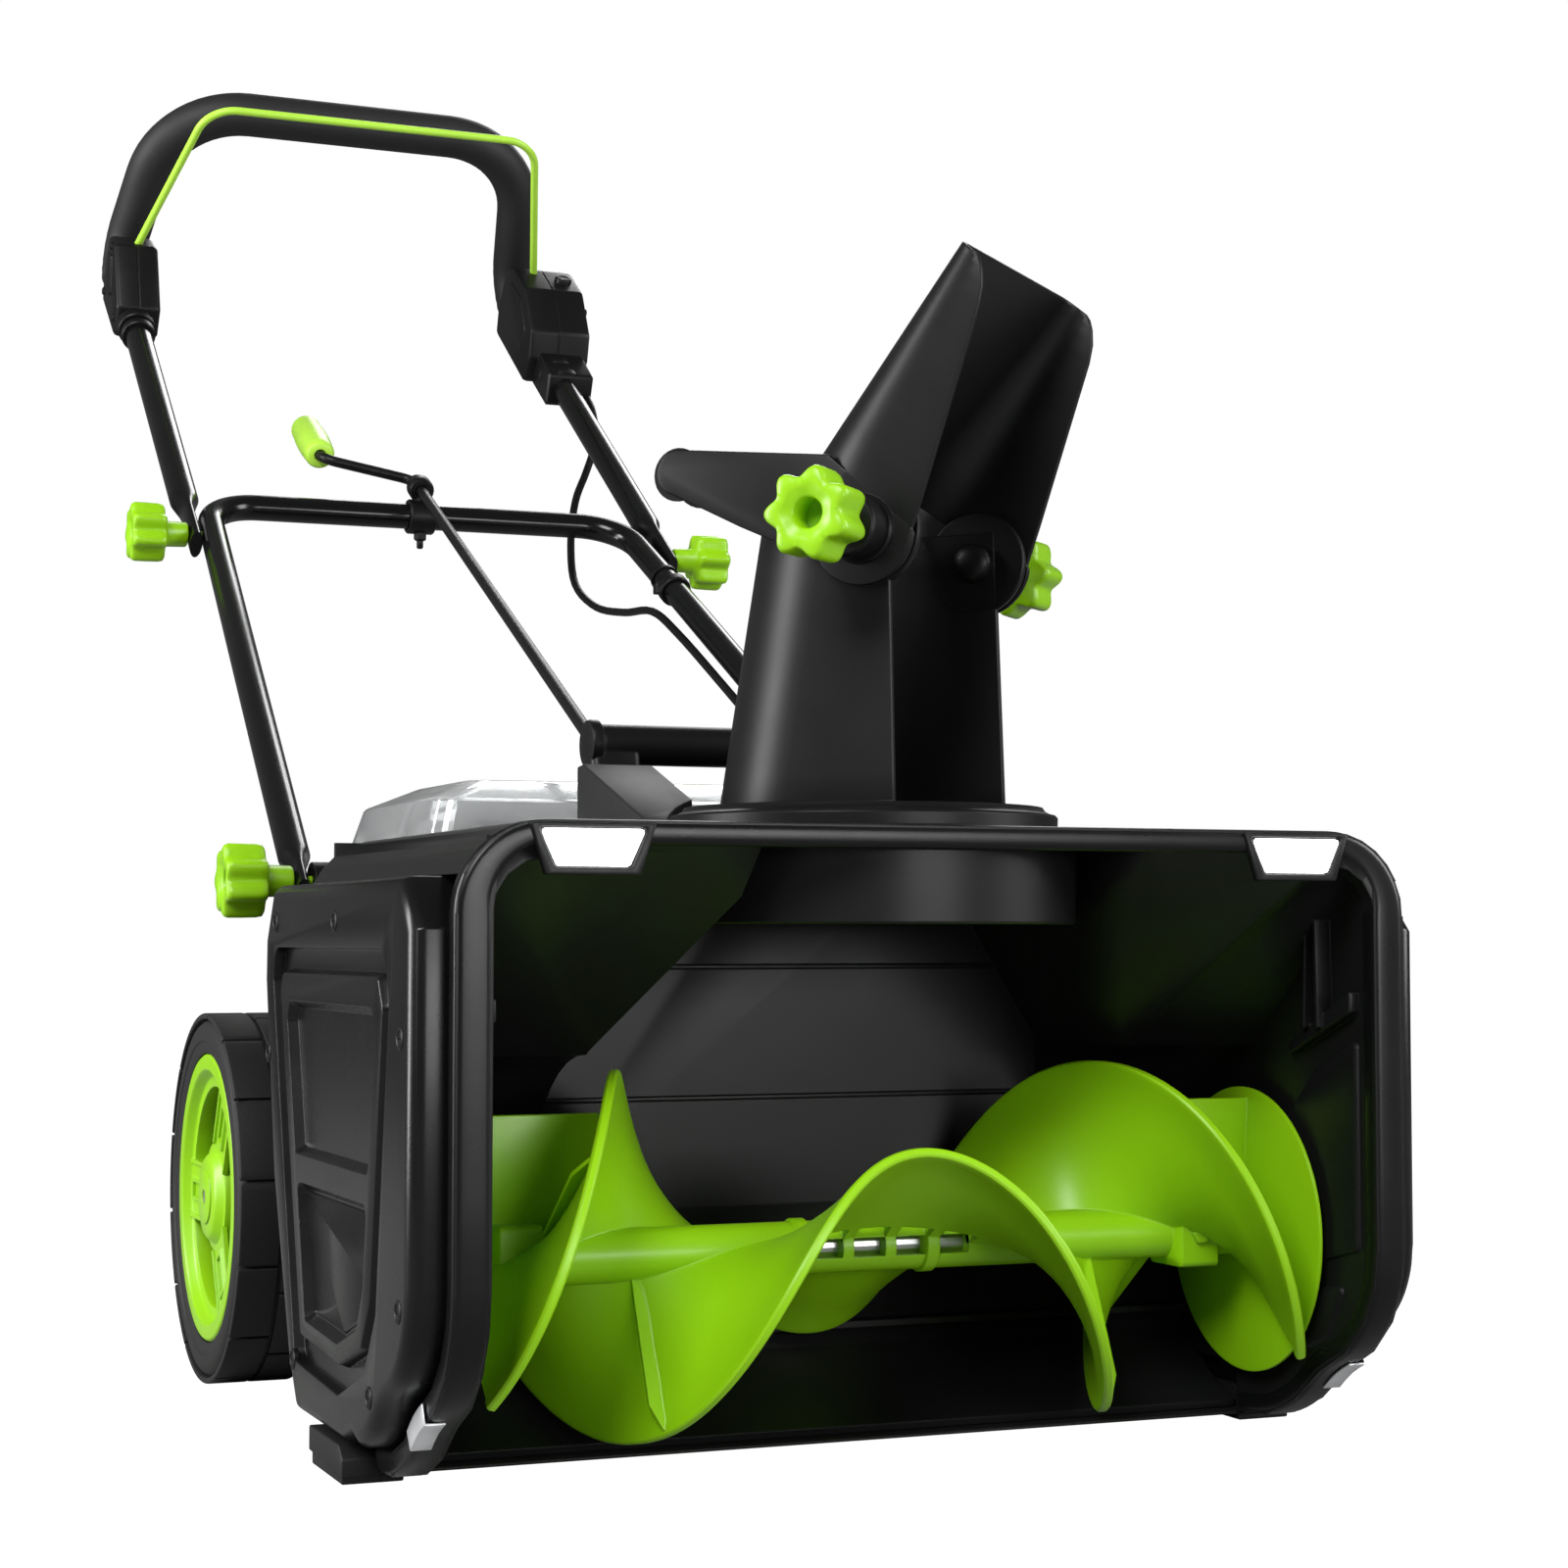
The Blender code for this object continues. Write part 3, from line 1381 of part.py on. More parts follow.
def worm_housing():
    """The fairing over the worm's shaft between the carry handle's post and the chute."""
    base = ROOF_Z + GAP
    outline = [(0.010, base), (0.1215, base), (0.1215, 0.336), (0.112, 0.337), (0.022, 0.3065)]
    fairing = plate_x("worm_housing", outline, -0.099, -0.061)
    clear = FLANGE_R + RUN
    cut(fairing, turned("flange room", (0, 0, 1), CHUTE, [(0.25, clear), (0.40, clear)], 48))
    cut(fairing, shaft_way("fairing way"))
    return place("worm_housing", fairing, BLACK_SATIN)


def carry_handle():
    ends = Vector((CARRY_HALF, 0, 0))
    centre = Vector((0, CARRY_Y, CARRY_Z))
    bar = rod("carry_handle", centre - ends, centre + ends, CARRY_R, 20)
    base = ROOF_Z + GAP
    foot = REAR_Y - 0.0005
    for side in (-1, 1):
        inner, outer = side * (CARRY_HALF - POST_W), side * (CARRY_HALF - 0.0005)
        outline = [
            (foot - POST_D - 0.006, base),
            (foot, base),
            (CARRY_Y + CARRY_R * 0.86, CARRY_Z),
            (CARRY_Y - CARRY_R * 0.86, CARRY_Z),
        ]
        join(bar, plate_x(side_name("post", side), outline, inner, outer))
    cut(bar, shaft_way("post way"))
    return place("carry_handle", bar, BLACK_SATIN)


# ---------------------------------------------------------------- handles


def flattened(obj, tips, reach, share):
    """Presses a tube's ends flat, square to X, with a short swage between round and flat."""
    for vertex in obj.data.vertices:
        for tip in tips:
            if vertex.co.x * tip.x <= 0:
                continue
            distance = (vertex.co - tip).length
            press = min(1, max(0, (reach + 0.015 - distance) / 0.015))
            line = tip.x + (vertex.co - tip).dot(tip_slope(tip)) * tip_slope(tip).x
            vertex.co.x = line + (vertex.co.x - line) * (1 - press * (1 - share))
    return obj


def tip_slope(tip):
    """The direction of the tube at one of its ends."""
    foot_end = tip.z < BOLT.z - 0.05
    run = LEG if foot_end else UPPER_LEG
    return Vector((run.x * (1 if tip.x > 0 else -1), run.y, run.z))


PRESSED = 0.43
FOOT_TIP = FOOT - LEG * 0.014
UPPER_BOLT = Vector((BOLT.x + LEG_R + TUBE_R * PRESSED + 2 * GAP, BOLT.y, BOLT.z))
UPPER_LEG = (ELBOW - UPPER_BOLT).normalized()
UPPER_TIP = UPPER_BOLT - UPPER_LEG * 0.015


def both_sides(points):
    """A path from the right end over to the left one."""
    return points + [Vector((-p.x, p.y, p.z)) for p in points[::-1]]


def lower_handle():
    corner = Vector((CROSSBAR_X, CROSSBAR_Y, CROSSBAR_Z))
    near_foot = [FOOT_TIP + LEG * reach for reach in (0.026, 0.042)]
    path = both_sides([FOOT_TIP, *near_foot, corner])
    path = filleted(path, [0, 0, CORNER_R, CORNER_R, 0, 0], 4)
    tube = pipe("lower_handle", path_frames(path), LEG_R, LEG_R - TUBE_T)
    tips = [FOOT_TIP, Vector((-FOOT_TIP.x, FOOT_TIP.y, FOOT_TIP.z))]
    flattened(tube, tips, 0.026, PRESSED)
    cut(tube, cross_hole("fold holes low", BOLT), cross_hole("foot holes", FOOT))
    return place("lower_handle", tube, TUBE_PAINT)


def cross_hole(name, point):
    reach = HALF_WIDTH
    start = Vector((-reach, point.y, point.z))
    return hole(name, start, Vector((reach, point.y, point.z)), STUD_R + GAP, 8)


def upper_frames():
    near_tip = [UPPER_TIP + UPPER_LEG * reach for reach in (0.049, 0.066)]
    path = both_sides([UPPER_TIP, *near_tip, ELBOW, GRIP_TOP])
    radii = [0, 0, ELBOW_R, GRIP_CORNER_R, GRIP_CORNER_R, ELBOW_R, 0, 0]
    return path_frames(filleted(path, radii, 4))


def upper_handle():
    tube = pipe("upper_handle", upper_frames(), TUBE_R, TUBE_R - TUBE_T)
    tips = [UPPER_TIP, Vector((-UPPER_TIP.x, UPPER_TIP.y, UPPER_TIP.z))]
    flattened(tube, tips, 0.050, PRESSED)
    cut(tube, cross_hole("fold holes high", UPPER_BOLT))
    return place("upper_handle", tube, TUBE_PAINT, BOLT_LINE)


BOLT_LINE = Vector((0, BOLT.y, BOLT.z))


def foam_grip():
    frames = upper_frames()
    total = frames[-1][0]
    section = stretch(frames, FOAM_START, total - FOAM_START)
    foam = pipe("foam_grip", section, FOAM_R, TUBE_R + 0.0005)
    return place("foam_grip", foam, FOAM, BOLT_LINE)


def leg_block(name, side, outline, x0, x1):
    """A prism square to X whose outline is (along the upper leg, above it)."""
    out = Vector((0, -UPPER_LEG.z, UPPER_LEG.y)).normalized()
    along = Vector((0, UPPER_LEG.y, UPPER_LEG.z)).normalized()
    origin = leg_origin(side)
    rings = []
    for x in (x0, x1):
        rings.append([origin + along * s + out * m + X_AXIS * (x - origin.x) for s, m in outline])
    return from_rings(name, rings)


def leg_origin(side):
    """The point on the upper leg's centre line beneath the bail's pivot."""
    flat = Vector((0, UPPER_LEG.y, UPPER_LEG.z)).normalized()
    pivot = Vector((0, BAIL_Y - UPPER_BOLT.y, BAIL_Z - UPPER_BOLT.z))
    reach = pivot.dot(flat) / flat.dot(UPPER_LEG)
    point = UPPER_BOLT + UPPER_LEG * reach
    return Vector((side * point.x, point.y, point.z))


def leg_way(name, side):
    """The leg's own bore through a box clamped on it."""
    run = Vector((side * UPPER_LEG.x, UPPER_LEG.y, UPPER_LEG.z))
    centre = leg_origin(side)
    return rod(name, centre - run * 0.15, centre + run * 0.06, TUBE_R + 0.0006, 16)


BAIL_X = 0.172
PIVOT = Vector((0, BAIL_Y, BAIL_Z))
BAIL_TRAVEL = 24


def bail_room(name, side):
    """The slot in a box that the bail's leg swings in, with the hole for its bent end."""
    spoke = []
    near, far = 0.0095, 0.09
    corners = ((270, near), (200, near), (160, far), (107, far), (60, near), (0, near), (315, near))
    for angle, radius in corners:
        a = math.radians(angle)
        spoke.append((BAIL_Y + radius * math.cos(a), BAIL_Z + radius * math.sin(a)))
    x0, x1 = sorted((side * (BAIL_X - 0.024), side * (BAIL_X + 0.005)))
    slot = plate_x(name + " slot", spoke, x0, x1)
    start = PIVOT + X_AXIS * side * (BAIL_X - 0.001)
    end = PIVOT + X_AXIS * side * (BAIL_X + 0.0125)
    return [slot, hole(name + " hole", start, end, BAIL_R + GAP, 12)]


def switch_box():
    outline = [
        (-0.130, -0.0150),
        (0.018, -0.0155),
        (0.024, 0.006),
        (0.020, 0.046),
        (0.000, 0.054),
        (-0.040, 0.054),
        (-0.084, 0.030),
        (-0.124, 0.014),
        (-0.130, 0.008),
    ]
    box = leg_block("switch_box", 1, outline, 0.150, 0.204)
    seat, direction = button_seat()
    button = hole("button well", seat - direction * 0.012, seat + direction * 0.02, 0.0079, 16)
    cut(box, leg_way("switch way", 1), *bail_room("switch", 1), button)
    return place("switch_box", box, BLACK_SATIN, BOLT_LINE)


def button_seat():
    """Where the lock-off button stands in the switch box's upper face, and its direction."""
    out = Vector((0, -UPPER_LEG.z, UPPER_LEG.y)).normalized()
    along = Vector((0, UPPER_LEG.y, UPPER_LEG.z)).normalized()
    origin = leg_origin(1)
    seat = Vector((0.190, origin.y, origin.z)) - along * 0.020 + out * 0.054
    return seat, out


def lock_button():
    seat, out = button_seat()
    profile = [(-0.0075, 0.0075), (0.003, 0.0075), (0.0042, 0.006)]
    button = turned("lock_button", out, seat, profile, 16)
    return place("lock_button", button, PALE_GREEN, seat)


def pivot_box():
    outline = [
        (-0.060, -0.0145),
        (0.016, -0.0145),
        (0.024, 0.004),
        (0.018, 0.046),
        (-0.012, 0.050),
        (-0.034, 0.034),
        (-0.060, 0.014),
    ]
    box = leg_block("pivot_box", -1, outline, -0.190, -0.154)
    cut(box, leg_way("pivot way", -1), *bail_room("pivot", -1))
    return place("pivot_box", box, BLACK_SATIN, BOLT_LINE)


def bail():
    """The green bail in front of the grip, with its bent ends in the two boxes."""
    end = PIVOT + X_AXIS * (BAIL_X + 0.0115)
    corner = Vector((0.134, 0.953, 0.902))
    elbow = PIVOT + X_AXIS * BAIL_X
    path = both_sides([end, elbow, corner])
    bar = pipe("bail", path_frames(filleted(path, [0.005, 0.030, 0.030, 0.005], 4)), BAIL_R, sides=8)
    return place("bail", bar, PALE_GREEN, PIVOT)


def handle_knobs():
    pieces = []
    for side in (-1, 1):
        axis = X_AXIS * side
        upper = Vector((side * (UPPER_BOLT.x + TUBE_R * PRESSED + 2 * GAP), BOLT.y, BOLT.z))
        lower = Vector((side * (FOOT.x + LEG_R * PRESSED + 3 * GAP), FOOT.y, FOOT.z))
        pieces.append(star_knob(side_name("fold_knob", side), upper, axis, 0.033))
        pieces.append(star_knob(side_name("foot_knob", side), lower, axis, 0.026))
    return pieces


def cable_route():
    """From the switch box, drooping to the clip on the right leg, then down it to the gland."""
    return [
        (0.194, 0.9951, 0.7011),
        (0.194, 0.9830, 0.6905),
        (0.192, 0.969, 0.674),
        (0.184, 0.948, 0.650),
        (0.170, 0.925, 0.626),
        (0.153, 0.900, 0.598),
        (0.139, 0.868, 0.560),
        (0.132, 0.835, 0.523),
        (0.136, 0.795, 0.501),
        (0.145, 0.755, 0.493),
        (0.1530, 0.715, 0.490),
        (0.1570, 0.670, 0.469),
        (0.1615, 0.600, 0.430),
        (0.1655, 0.530, 0.390),
        (0.1660, 0.470, 0.356),
        (0.1645, 0.436, 0.336),
        (0.1625, 0.4125, 0.319),
        (0.1620, 0.4070, 0.3008),
    ]


def handle_cable():
    path = smooth(cable_route(), 3 * 2 * CABLE_R)
    curve = bpy.data.curves.new("handle_cable", "CURVE")
    curve.dimensions = "3D"
    spline = curve.splines.new("POLY")
    spline.points.add(len(path) - 1)
    for point, place_at in zip(spline.points, path):
        point.co = (*place_at, 1)
    curve.bevel_depth = CABLE_R
    curve.bevel_resolution = 1
    curve.use_fill_caps = True
    obj = bpy.data.objects.new("handle_cable", curve)
    bpy.context.scene.collection.objects.link(obj)
    curve.materials.append(BLACK_SATIN)
    return obj


def cable_gland():
    centre = Vector((0.1620, 0.4070, 0))
    top = TAIL_TOP + GAP
    profile = [(top, 0.0065), (top + 0.004, 0.0065), (top + 0.0125, 0.0045)]
    ring = turned("cable_gland", (0, 0, 1), centre, profile, 14)
    return place("cable_gland", ring, BLACK_SATIN)


def cable_clip():
    """A band round the right leg with an eye for the cable."""
    at = BOLT - LEG * 0.056
    band = tube_ring("cable_clip", LEG, at, -0.004, 0.004, LEG_R + 0.002, LEG_R + GAP, 16)
    lug = at + Vector((-LEG_R - 0.0045, 0, 0))
    tab = block("clip tab", lug - Vector((0.0015, 0.004, 0.004)), lug + Vector((0.004, 0.004, 0.004)))
    way = rod("clip way", at - LEG * 0.02, at + LEG * 0.02, LEG_R + GAP, 16)
    return place("cable_clip", cut(join(band, tab), way), BLACK_SATIN)


# ---------------------------------------------------------------- the machine


def machine_middle(front_piece, back_piece):
    """Half way between the chute's left knob and the foam grip, the ends of the whole machine."""
    front = min(vertex.co.y + front_piece.location.y for vertex in front_piece.data.vertices)
    back = max(vertex.co.y + back_piece.location.y for vertex in back_piece.data.vertices)
    return (front + back) / 2


def build():
    clear_scene()
    auger_housing()
    scraper_bar()
    for side in (-1, 1):
        side_cover(side)
        corner_clip(side)
        lamp(side)
        wheel(side)
        battery(side)
    auger_group()
    drive_belt()
    motor_group()
    wheel_axle()
    rear_housing()
    battery_cradle()
    battery_lid()
    lid_pin()
    control_board()
    chute()
    deflector()
    chute_fastenings()
    crank()
    crank_grip()
    crank_eyelet()
    worm()
    worm_housing()
    carry_handle()
    lower_handle()
    upper_handle()
    foam_grip()
    switch_box()
    lock_button()
    pivot_box()
    bail()
    handle_knobs()
    handle_cable()
    cable_gland()
    cable_clip()
    centre = bpy.data.objects.new("machine_centre", None)
    bpy.context.scene.collection.objects.link(centre)
    ends = bpy.data.objects["chute_knob_left"], bpy.data.objects["foam_grip"]
    centre.location = (0, -machine_middle(*ends), 0)
    for obj in bpy.data.objects:
        if obj is not centre:
            obj.parent = centre


build()
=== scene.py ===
"""A battery snow blower: its visible pieces, finishes, stage and camera."""

import math

import bmesh
import bpy
import numpy as np
from mathutils import Matrix, Vector


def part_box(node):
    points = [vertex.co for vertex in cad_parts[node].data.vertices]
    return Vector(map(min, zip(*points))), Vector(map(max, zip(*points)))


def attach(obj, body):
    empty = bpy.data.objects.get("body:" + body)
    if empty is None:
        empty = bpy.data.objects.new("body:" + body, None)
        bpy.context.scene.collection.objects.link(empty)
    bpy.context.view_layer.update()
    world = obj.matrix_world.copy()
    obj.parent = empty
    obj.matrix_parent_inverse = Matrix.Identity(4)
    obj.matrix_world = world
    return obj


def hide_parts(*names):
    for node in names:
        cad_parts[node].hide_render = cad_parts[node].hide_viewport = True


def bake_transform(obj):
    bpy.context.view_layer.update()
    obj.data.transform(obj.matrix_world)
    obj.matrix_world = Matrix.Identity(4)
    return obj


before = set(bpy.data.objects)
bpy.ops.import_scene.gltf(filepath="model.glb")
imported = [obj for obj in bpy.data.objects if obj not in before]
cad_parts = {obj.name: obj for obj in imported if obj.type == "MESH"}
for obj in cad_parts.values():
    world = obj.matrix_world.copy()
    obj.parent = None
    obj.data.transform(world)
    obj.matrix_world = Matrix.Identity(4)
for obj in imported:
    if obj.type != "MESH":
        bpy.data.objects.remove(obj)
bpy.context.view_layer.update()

bl_info = {
    "name": "Battery snow blower",
    "version": (1, 0, 0),
    "blender": (4, 5, 0),
    "location": "3D View > Sidebar > Snow blower",
    "description": "Builds a walk-behind battery snow blower piece by piece",
    "category": "Object",
}


def middle_of(node):
    low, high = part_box(node)
    return (Vector(low) + Vector(high)) / 2


# Shapes are drawn with y measured from the scraper's front edge, and moved into the frame at the end.
SCRAPER_EDGE = middle_of("wheel_axle").y - 0.330
X = Vector((1, 0, 0))
Y = Vector((0, 1, 0))
Z = Vector((0, 0, 1))
AUGER = Vector((0, -0.0204, 0.1006))
AUGER_HALF = 0.213
PITCH = 0.2116
YAW = math.radians(41.8)
THROW = Vector((math.sin(YAW), -math.cos(YAW), 0))
ACROSS = Vector((math.cos(YAW), math.sin(YAW), 0))
CHUTE = Vector((0, -0.0204, 0))
HINGE_Q, HINGE_Z = 0.033, 0.435
MOUTH_Y = -0.130
ROOF_Z = 0.298
SHOULDER_R = 0.040
RIM_HALF = 0.234
LAMP_X = 0.174
FOAM_START = 0.462
AXLE = Vector((0, 0.330, 0.1028))
YOKE = Vector((-0.062, 0.190, 0.347))
EYELET = Vector((0, 0.807, 0.586))
RODWAY = (EYELET - YOKE).normalized()


# ---------------------------------------------------------------- shapes


def fresh(name, bm):
    bmesh.ops.recalc_face_normals(bm, faces=bm.faces)
    mesh = bpy.data.meshes.new(name)
    bm.to_mesh(mesh)
    bm.free()
    obj = bpy.data.objects.new(name, mesh)
    bpy.context.scene.collection.objects.link(obj)
    return obj


def loft(name, rings, closed=False):
    """A closed skin through rings of equally many points."""
    bm = bmesh.new()
    rows = [[bm.verts.new(point) for point in ring] for ring in rings]
    pairs = list(zip(rows, rows[1:]))
    if closed:
        pairs.append((rows[-1], rows[0]))
    for low, high in pairs:
        for i in range(len(low)):
            j = (i + 1) % len(low)
            bm.faces.new((low[i], low[j], high[j], high[i]))
    if not closed:
        bm.faces.new(rows[0])
        bm.faces.new(rows[-1])
    return fresh(name, bm)


def square_to(axis):
    axis = Vector(axis).normalized()
    side = Z if abs(axis.z) < 0.9 else Y
    u = axis.cross(side).normalized()
    return u, axis.cross(u).normalized()


def circle(centre, u, v, radius, sides):
    turns = [2 * math.pi * i / sides for i in range(sides)]
    return [centre + (u * math.cos(a) + v * math.sin(a)) * radius for a in turns]


def turned(name, axis, centre, profile, sides=48, closed=False):
    """A lathe-turned shape from (distance along the axis, radius) pairs."""
    axis = Vector(axis).normalized()
    u, v = square_to(axis)
    rings = [circle(Vector(centre) + axis * at, u, v, radius, sides) for at, radius in profile]
    return loft(name, rings, closed)


def rod(name, start, end, radius, sides=32, edge=0.0006):
    start, end = Vector(start), Vector(end)
    run = (end - start).length
    profile = [(0, radius - edge), (edge, radius), (run - edge, radius), (run, radius - edge)]
    return turned(name, end - start, start, profile, sides)


def prism(name, outline, axis, low, high):
    """A prism of a 2-D outline between two planes square to the axis letter."""
    if axis == "x":
        rings = [[(at, a, b) for a, b in outline] for at in (low, high)]
    elif axis == "y":
        rings = [[(a, at, b) for a, b in outline] for at in (low, high)]
    else:
        rings = [[(a, b, at) for a, b in outline] for at in (low, high)]
    return loft(name, rings)


def block(name, low, high):
    return prism(
        name, [
            (low[0], low[1]), (high[0], low[1]), (high[0], high[1]), (low[0], high[1])
        ], "z", low[2], high[2]
    )


def arc(cx, cy, radius, start, end, steps):
    turns = np.radians(np.linspace(start, end, steps + 1))
    return [(cx + radius * math.cos(a), cy + radius * math.sin(a)) for a in turns]


def filleted(points, radii, steps=10):
    path = [Vector(points[0])]
    for before, corner, after, radius in zip(points, points[1:], points[2:], radii):
        corner = Vector(corner)
        back = (Vector(before) - corner).normalized()
        ahead = (Vector(after) - corner).normalized()
        half = back.angle(ahead) / 2
        setback = radius / math.tan(half)
        centre = corner + (back + ahead).normalized() * radius / math.sin(half)
        start, end = corner + back * setback - centre, corner + ahead * setback - centre
        for i in range(steps + 1):
            path.append(centre + start.slerp(end, i / steps).normalized() * radius)
    return path + [Vector(points[-1])]


def smooth(points, steps=8):
    """A Catmull-Rom curve through the points."""
    points = [Vector(p) for p in points]
    ends = [points[0] * 2 - points[1], *points, points[-1] * 2 - points[-2]]
    path = []
    for a, b, c, d in zip(ends, ends[1:], ends[2:], ends[3:]):
        for i in range(steps):
            t = i / steps
            path.append(
                ((b * 2) + (c - a) * t + (a * 2 - b * 5 + c * 4 - d) * t * t
                 + (b * 3 - a - c * 3 + d) * t * t * t) / 2
            )
    return path + [points[-1]]


def frames_along(path):
    """(point, u, v) along a path, carried without twist."""
    aims = [(b - a).normalized() for a, b in zip(path, path[1:])]
    u, _ = square_to(aims[0])
    found = []
    for i, point in enumerate(path):
        aim = aims[0] if i == 0 else aims[-1] if i == len(path) - 1 else (aims[i - 1] + aims[i]).normalized()
        u = (u - aim * u.dot(aim)).normalized()
        found.append((point, u, aim.cross(u)))
    return found


def tube(name, path, radius, sides=28):
    """A round bar along a path; radius may be a function of the share of the way along."""
    dense = [path[0]]
    for a, b in zip(path, path[1:]):
        parts = max(1, int((b - a).length / 0.02))
        dense += [a.lerp(b, i / parts) for i in range(1, parts + 1)]
    path = dense
    lengths = np.cumsum([0] + [(b - a).length for a, b in zip(path, path[1:])])
    share = [float(at) for at in lengths / lengths[-1]]
    size = radius if callable(radius) else (lambda t: radius)
    rings = [circle(p, u, v, size(t), sides) for (p, u, v), t in zip(frames_along(path), share)]
    return loft(name, rings)


def mirrored(points):
    return [*points, *[Vector((-p[0], p[1], p[2])) for p in points[::-1]]]


def inset(outline, by):
    """A closed outline moved inwards by a distance."""
    area = sum(a[0] * b[1] - b[0] * a[1] for a, b in zip(outline, outline[1:] + outline[:1]))
    by = by if area > 0 else -by
    moved = []
    for i, here in enumerate(outline):
        before, after = Vector(outline[i - 1]), Vector(outline[(i + 1) % len(outline)])
        here = Vector(here)
        a = (here - before).normalized()
        b = (after - here).normalized()
        na, nb = Vector((-a.y, a.x)), Vector((-b.y, b.x))
        mid = (na + nb).normalized()
        moved.append(tuple(here + mid * by / max(0.4, mid.dot(na))))
    return moved


def rounded(corners, radius, steps=5):
    """A closed outline with each corner rounded."""
    out = []
    count = len(corners)
    radii = radius if isinstance(radius, (list, tuple)) else [radius] * count
    for i in range(count):
        before, here, after = (Vector((*corners[j % count], 0)) for j in (i - 1, i, i + 1))
        fillet = filleted([before, here, after], [radii[i]], steps)[1:-1]
        out += [(p.x, p.y) for p in fillet]
    return out


def evaluated(obj):
    """The object with its modifiers made part of its mesh."""
    graph = bpy.context.evaluated_depsgraph_get()
    mesh = bpy.data.meshes.new_from_object(obj.evaluated_get(graph))
    obj.modifiers.clear()
    obj.data = mesh
    return obj


def cut(obj, *cutters):
    for cutter in cutters:
        way = obj.modifiers.new("Cut", "BOOLEAN")
        way.operation = "DIFFERENCE"
        way.object = cutter
    evaluated(obj)
    for cutter in cutters:
        bpy.data.objects.remove(cutter)
    return obj


def soften(obj, width=0.0012, segments=3, angle=32):
    bevel = obj.modifiers.new("Rounded edges", "BEVEL")
    bevel.width = width
    bevel.segments = segments
    bevel.limit_method = "ANGLE"
    bevel.angle_limit = math.radians(angle)
    bevel.miter_outer = "MITER_ARC"
    return evaluated(obj)


def gathered(name, *objs):
    """Several closed shells as one mesh."""
    bm = bmesh.new()
    for obj in objs:
        bm.from_mesh(obj.data)
        bpy.data.objects.remove(obj)
    mesh = bpy.data.meshes.new(name)
    bm.to_mesh(mesh)
    bm.free()
    whole = bpy.data.objects.new(name, mesh)
    bpy.context.scene.collection.objects.link(whole)
    return whole


def copy_of(node, name):
    """A merged copy of a CAD node, in the drawing's own coordinates."""
    bm = bmesh.new()
    bm.from_mesh(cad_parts[node].data)
    bmesh.ops.remove_doubles(bm, verts=bm.verts, dist=2e-6)
    bmesh.ops.dissolve_limit(bm, angle_limit=math.radians(0.6), verts=bm.verts, edges=bm.edges)
    bmesh.ops.translate(bm, vec=(0, -SCRAPER_EDGE, 0), verts=bm.verts)
    return fresh(name, bm)


def placed(obj, body, material, hides=(), sharp=36):
    """Moves a finished piece into the frame, shades it and puts it on its body."""
    obj.data.transform(Matrix.Translation((0, SCRAPER_EDGE, 0)))
    obj.data.materials.clear()
    obj.data.materials.append(material)
    obj.data.shade_smooth()
    obj.data.set_sharp_from_angle(angle=math.radians(sharp))
    if body:
        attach(obj, body)
    if hides:
        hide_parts(*hides)
    return obj


def both(make):
    """One piece for each side."""
    return [make(side, word) for side, word in ((-1, "left"), (1, "right"))]


# ---------------------------------------------------------------- finishes


def link(tree, *pairs):
    for (a, out), (b, into) in pairs:
        tree.links.new(a.outputs[out], b.inputs[into])


def moulding(
    name, colour, rough, grain=0.1, grain_size=900.0, specular=0.5, coat=0.0, mottle=0.06, metal=0.0, edge=0.0007
):
    """A moulded or painted finish: faint mottle, uneven gloss, fine grain and softened edges."""
    material = bpy.data.materials.new(name)
    material.use_nodes = True
    tree = material.node_tree
    shader = tree.nodes["Principled BSDF"]
    place = tree.nodes.new("ShaderNodeTexCoord")
    cloudy = tree.nodes.new("ShaderNodeTexNoise")
    cloudy.inputs["Scale"].default_value = 14
    cloudy.inputs["Detail"].default_value = 4
    tone = tree.nodes.new("ShaderNodeValToRGB")
    dark = [c * (1 - mottle) for c in colour]
    light = [min(1, c * (1 + mottle)) for c in colour]
    tone.color_ramp.elements[0].position = 0.3
    tone.color_ramp.elements[0].color = (*dark, 1)
    tone.color_ramp.elements[1].position = 0.7
    tone.color_ramp.elements[1].color = (*light, 1)
    worn = tree.nodes.new("ShaderNodeTexNoise")
    worn.inputs["Scale"].default_value = 55
    worn.inputs["Detail"].default_value = 5
    gloss = tree.nodes.new("ShaderNodeMapRange")
    gloss.inputs["To Min"].default_value = max(0.03, rough - 0.03)
    gloss.inputs["To Max"].default_value = min(1, rough + 0.04)
    fine = tree.nodes.new("ShaderNodeTexNoise")
    fine.inputs["Scale"].default_value = grain_size
    fine.inputs["Detail"].default_value = 3
    bump = tree.nodes.new("ShaderNodeBump")
    bump.inputs["Strength"].default_value = grain
    bump.inputs["Distance"].default_value = 0.0004
    link(
        tree,
        ((place, "Object"), (cloudy, "Vector")),
        ((place, "Object"), (worn, "Vector")),
        ((place, "Object"), (fine, "Vector")),
        ((cloudy, "Fac"), (tone, "Fac")),
        ((tone, "Color"), (shader, "Base Color")),
        ((worn, "Fac"), (gloss, "Value")),
        ((gloss, "Result"), (shader, "Roughness")),
        ((fine, "Fac"), (bump, "Height")),
        ((bump, "Normal"), (shader, "Normal")),
    )
    if edge:
        round_edge = tree.nodes.new("ShaderNodeBevel")
        round_edge.samples = 4
        round_edge.inputs["Radius"].default_value = edge
        link(tree, ((round_edge, "Normal"), (bump, "Normal")))
    shader.inputs["Specular IOR Level"].default_value = specular
    shader.inputs["Coat Weight"].default_value = coat
    shader.inputs["Coat Roughness"].default_value = 0.12
    shader.inputs["Metallic"].default_value = metal
    return material


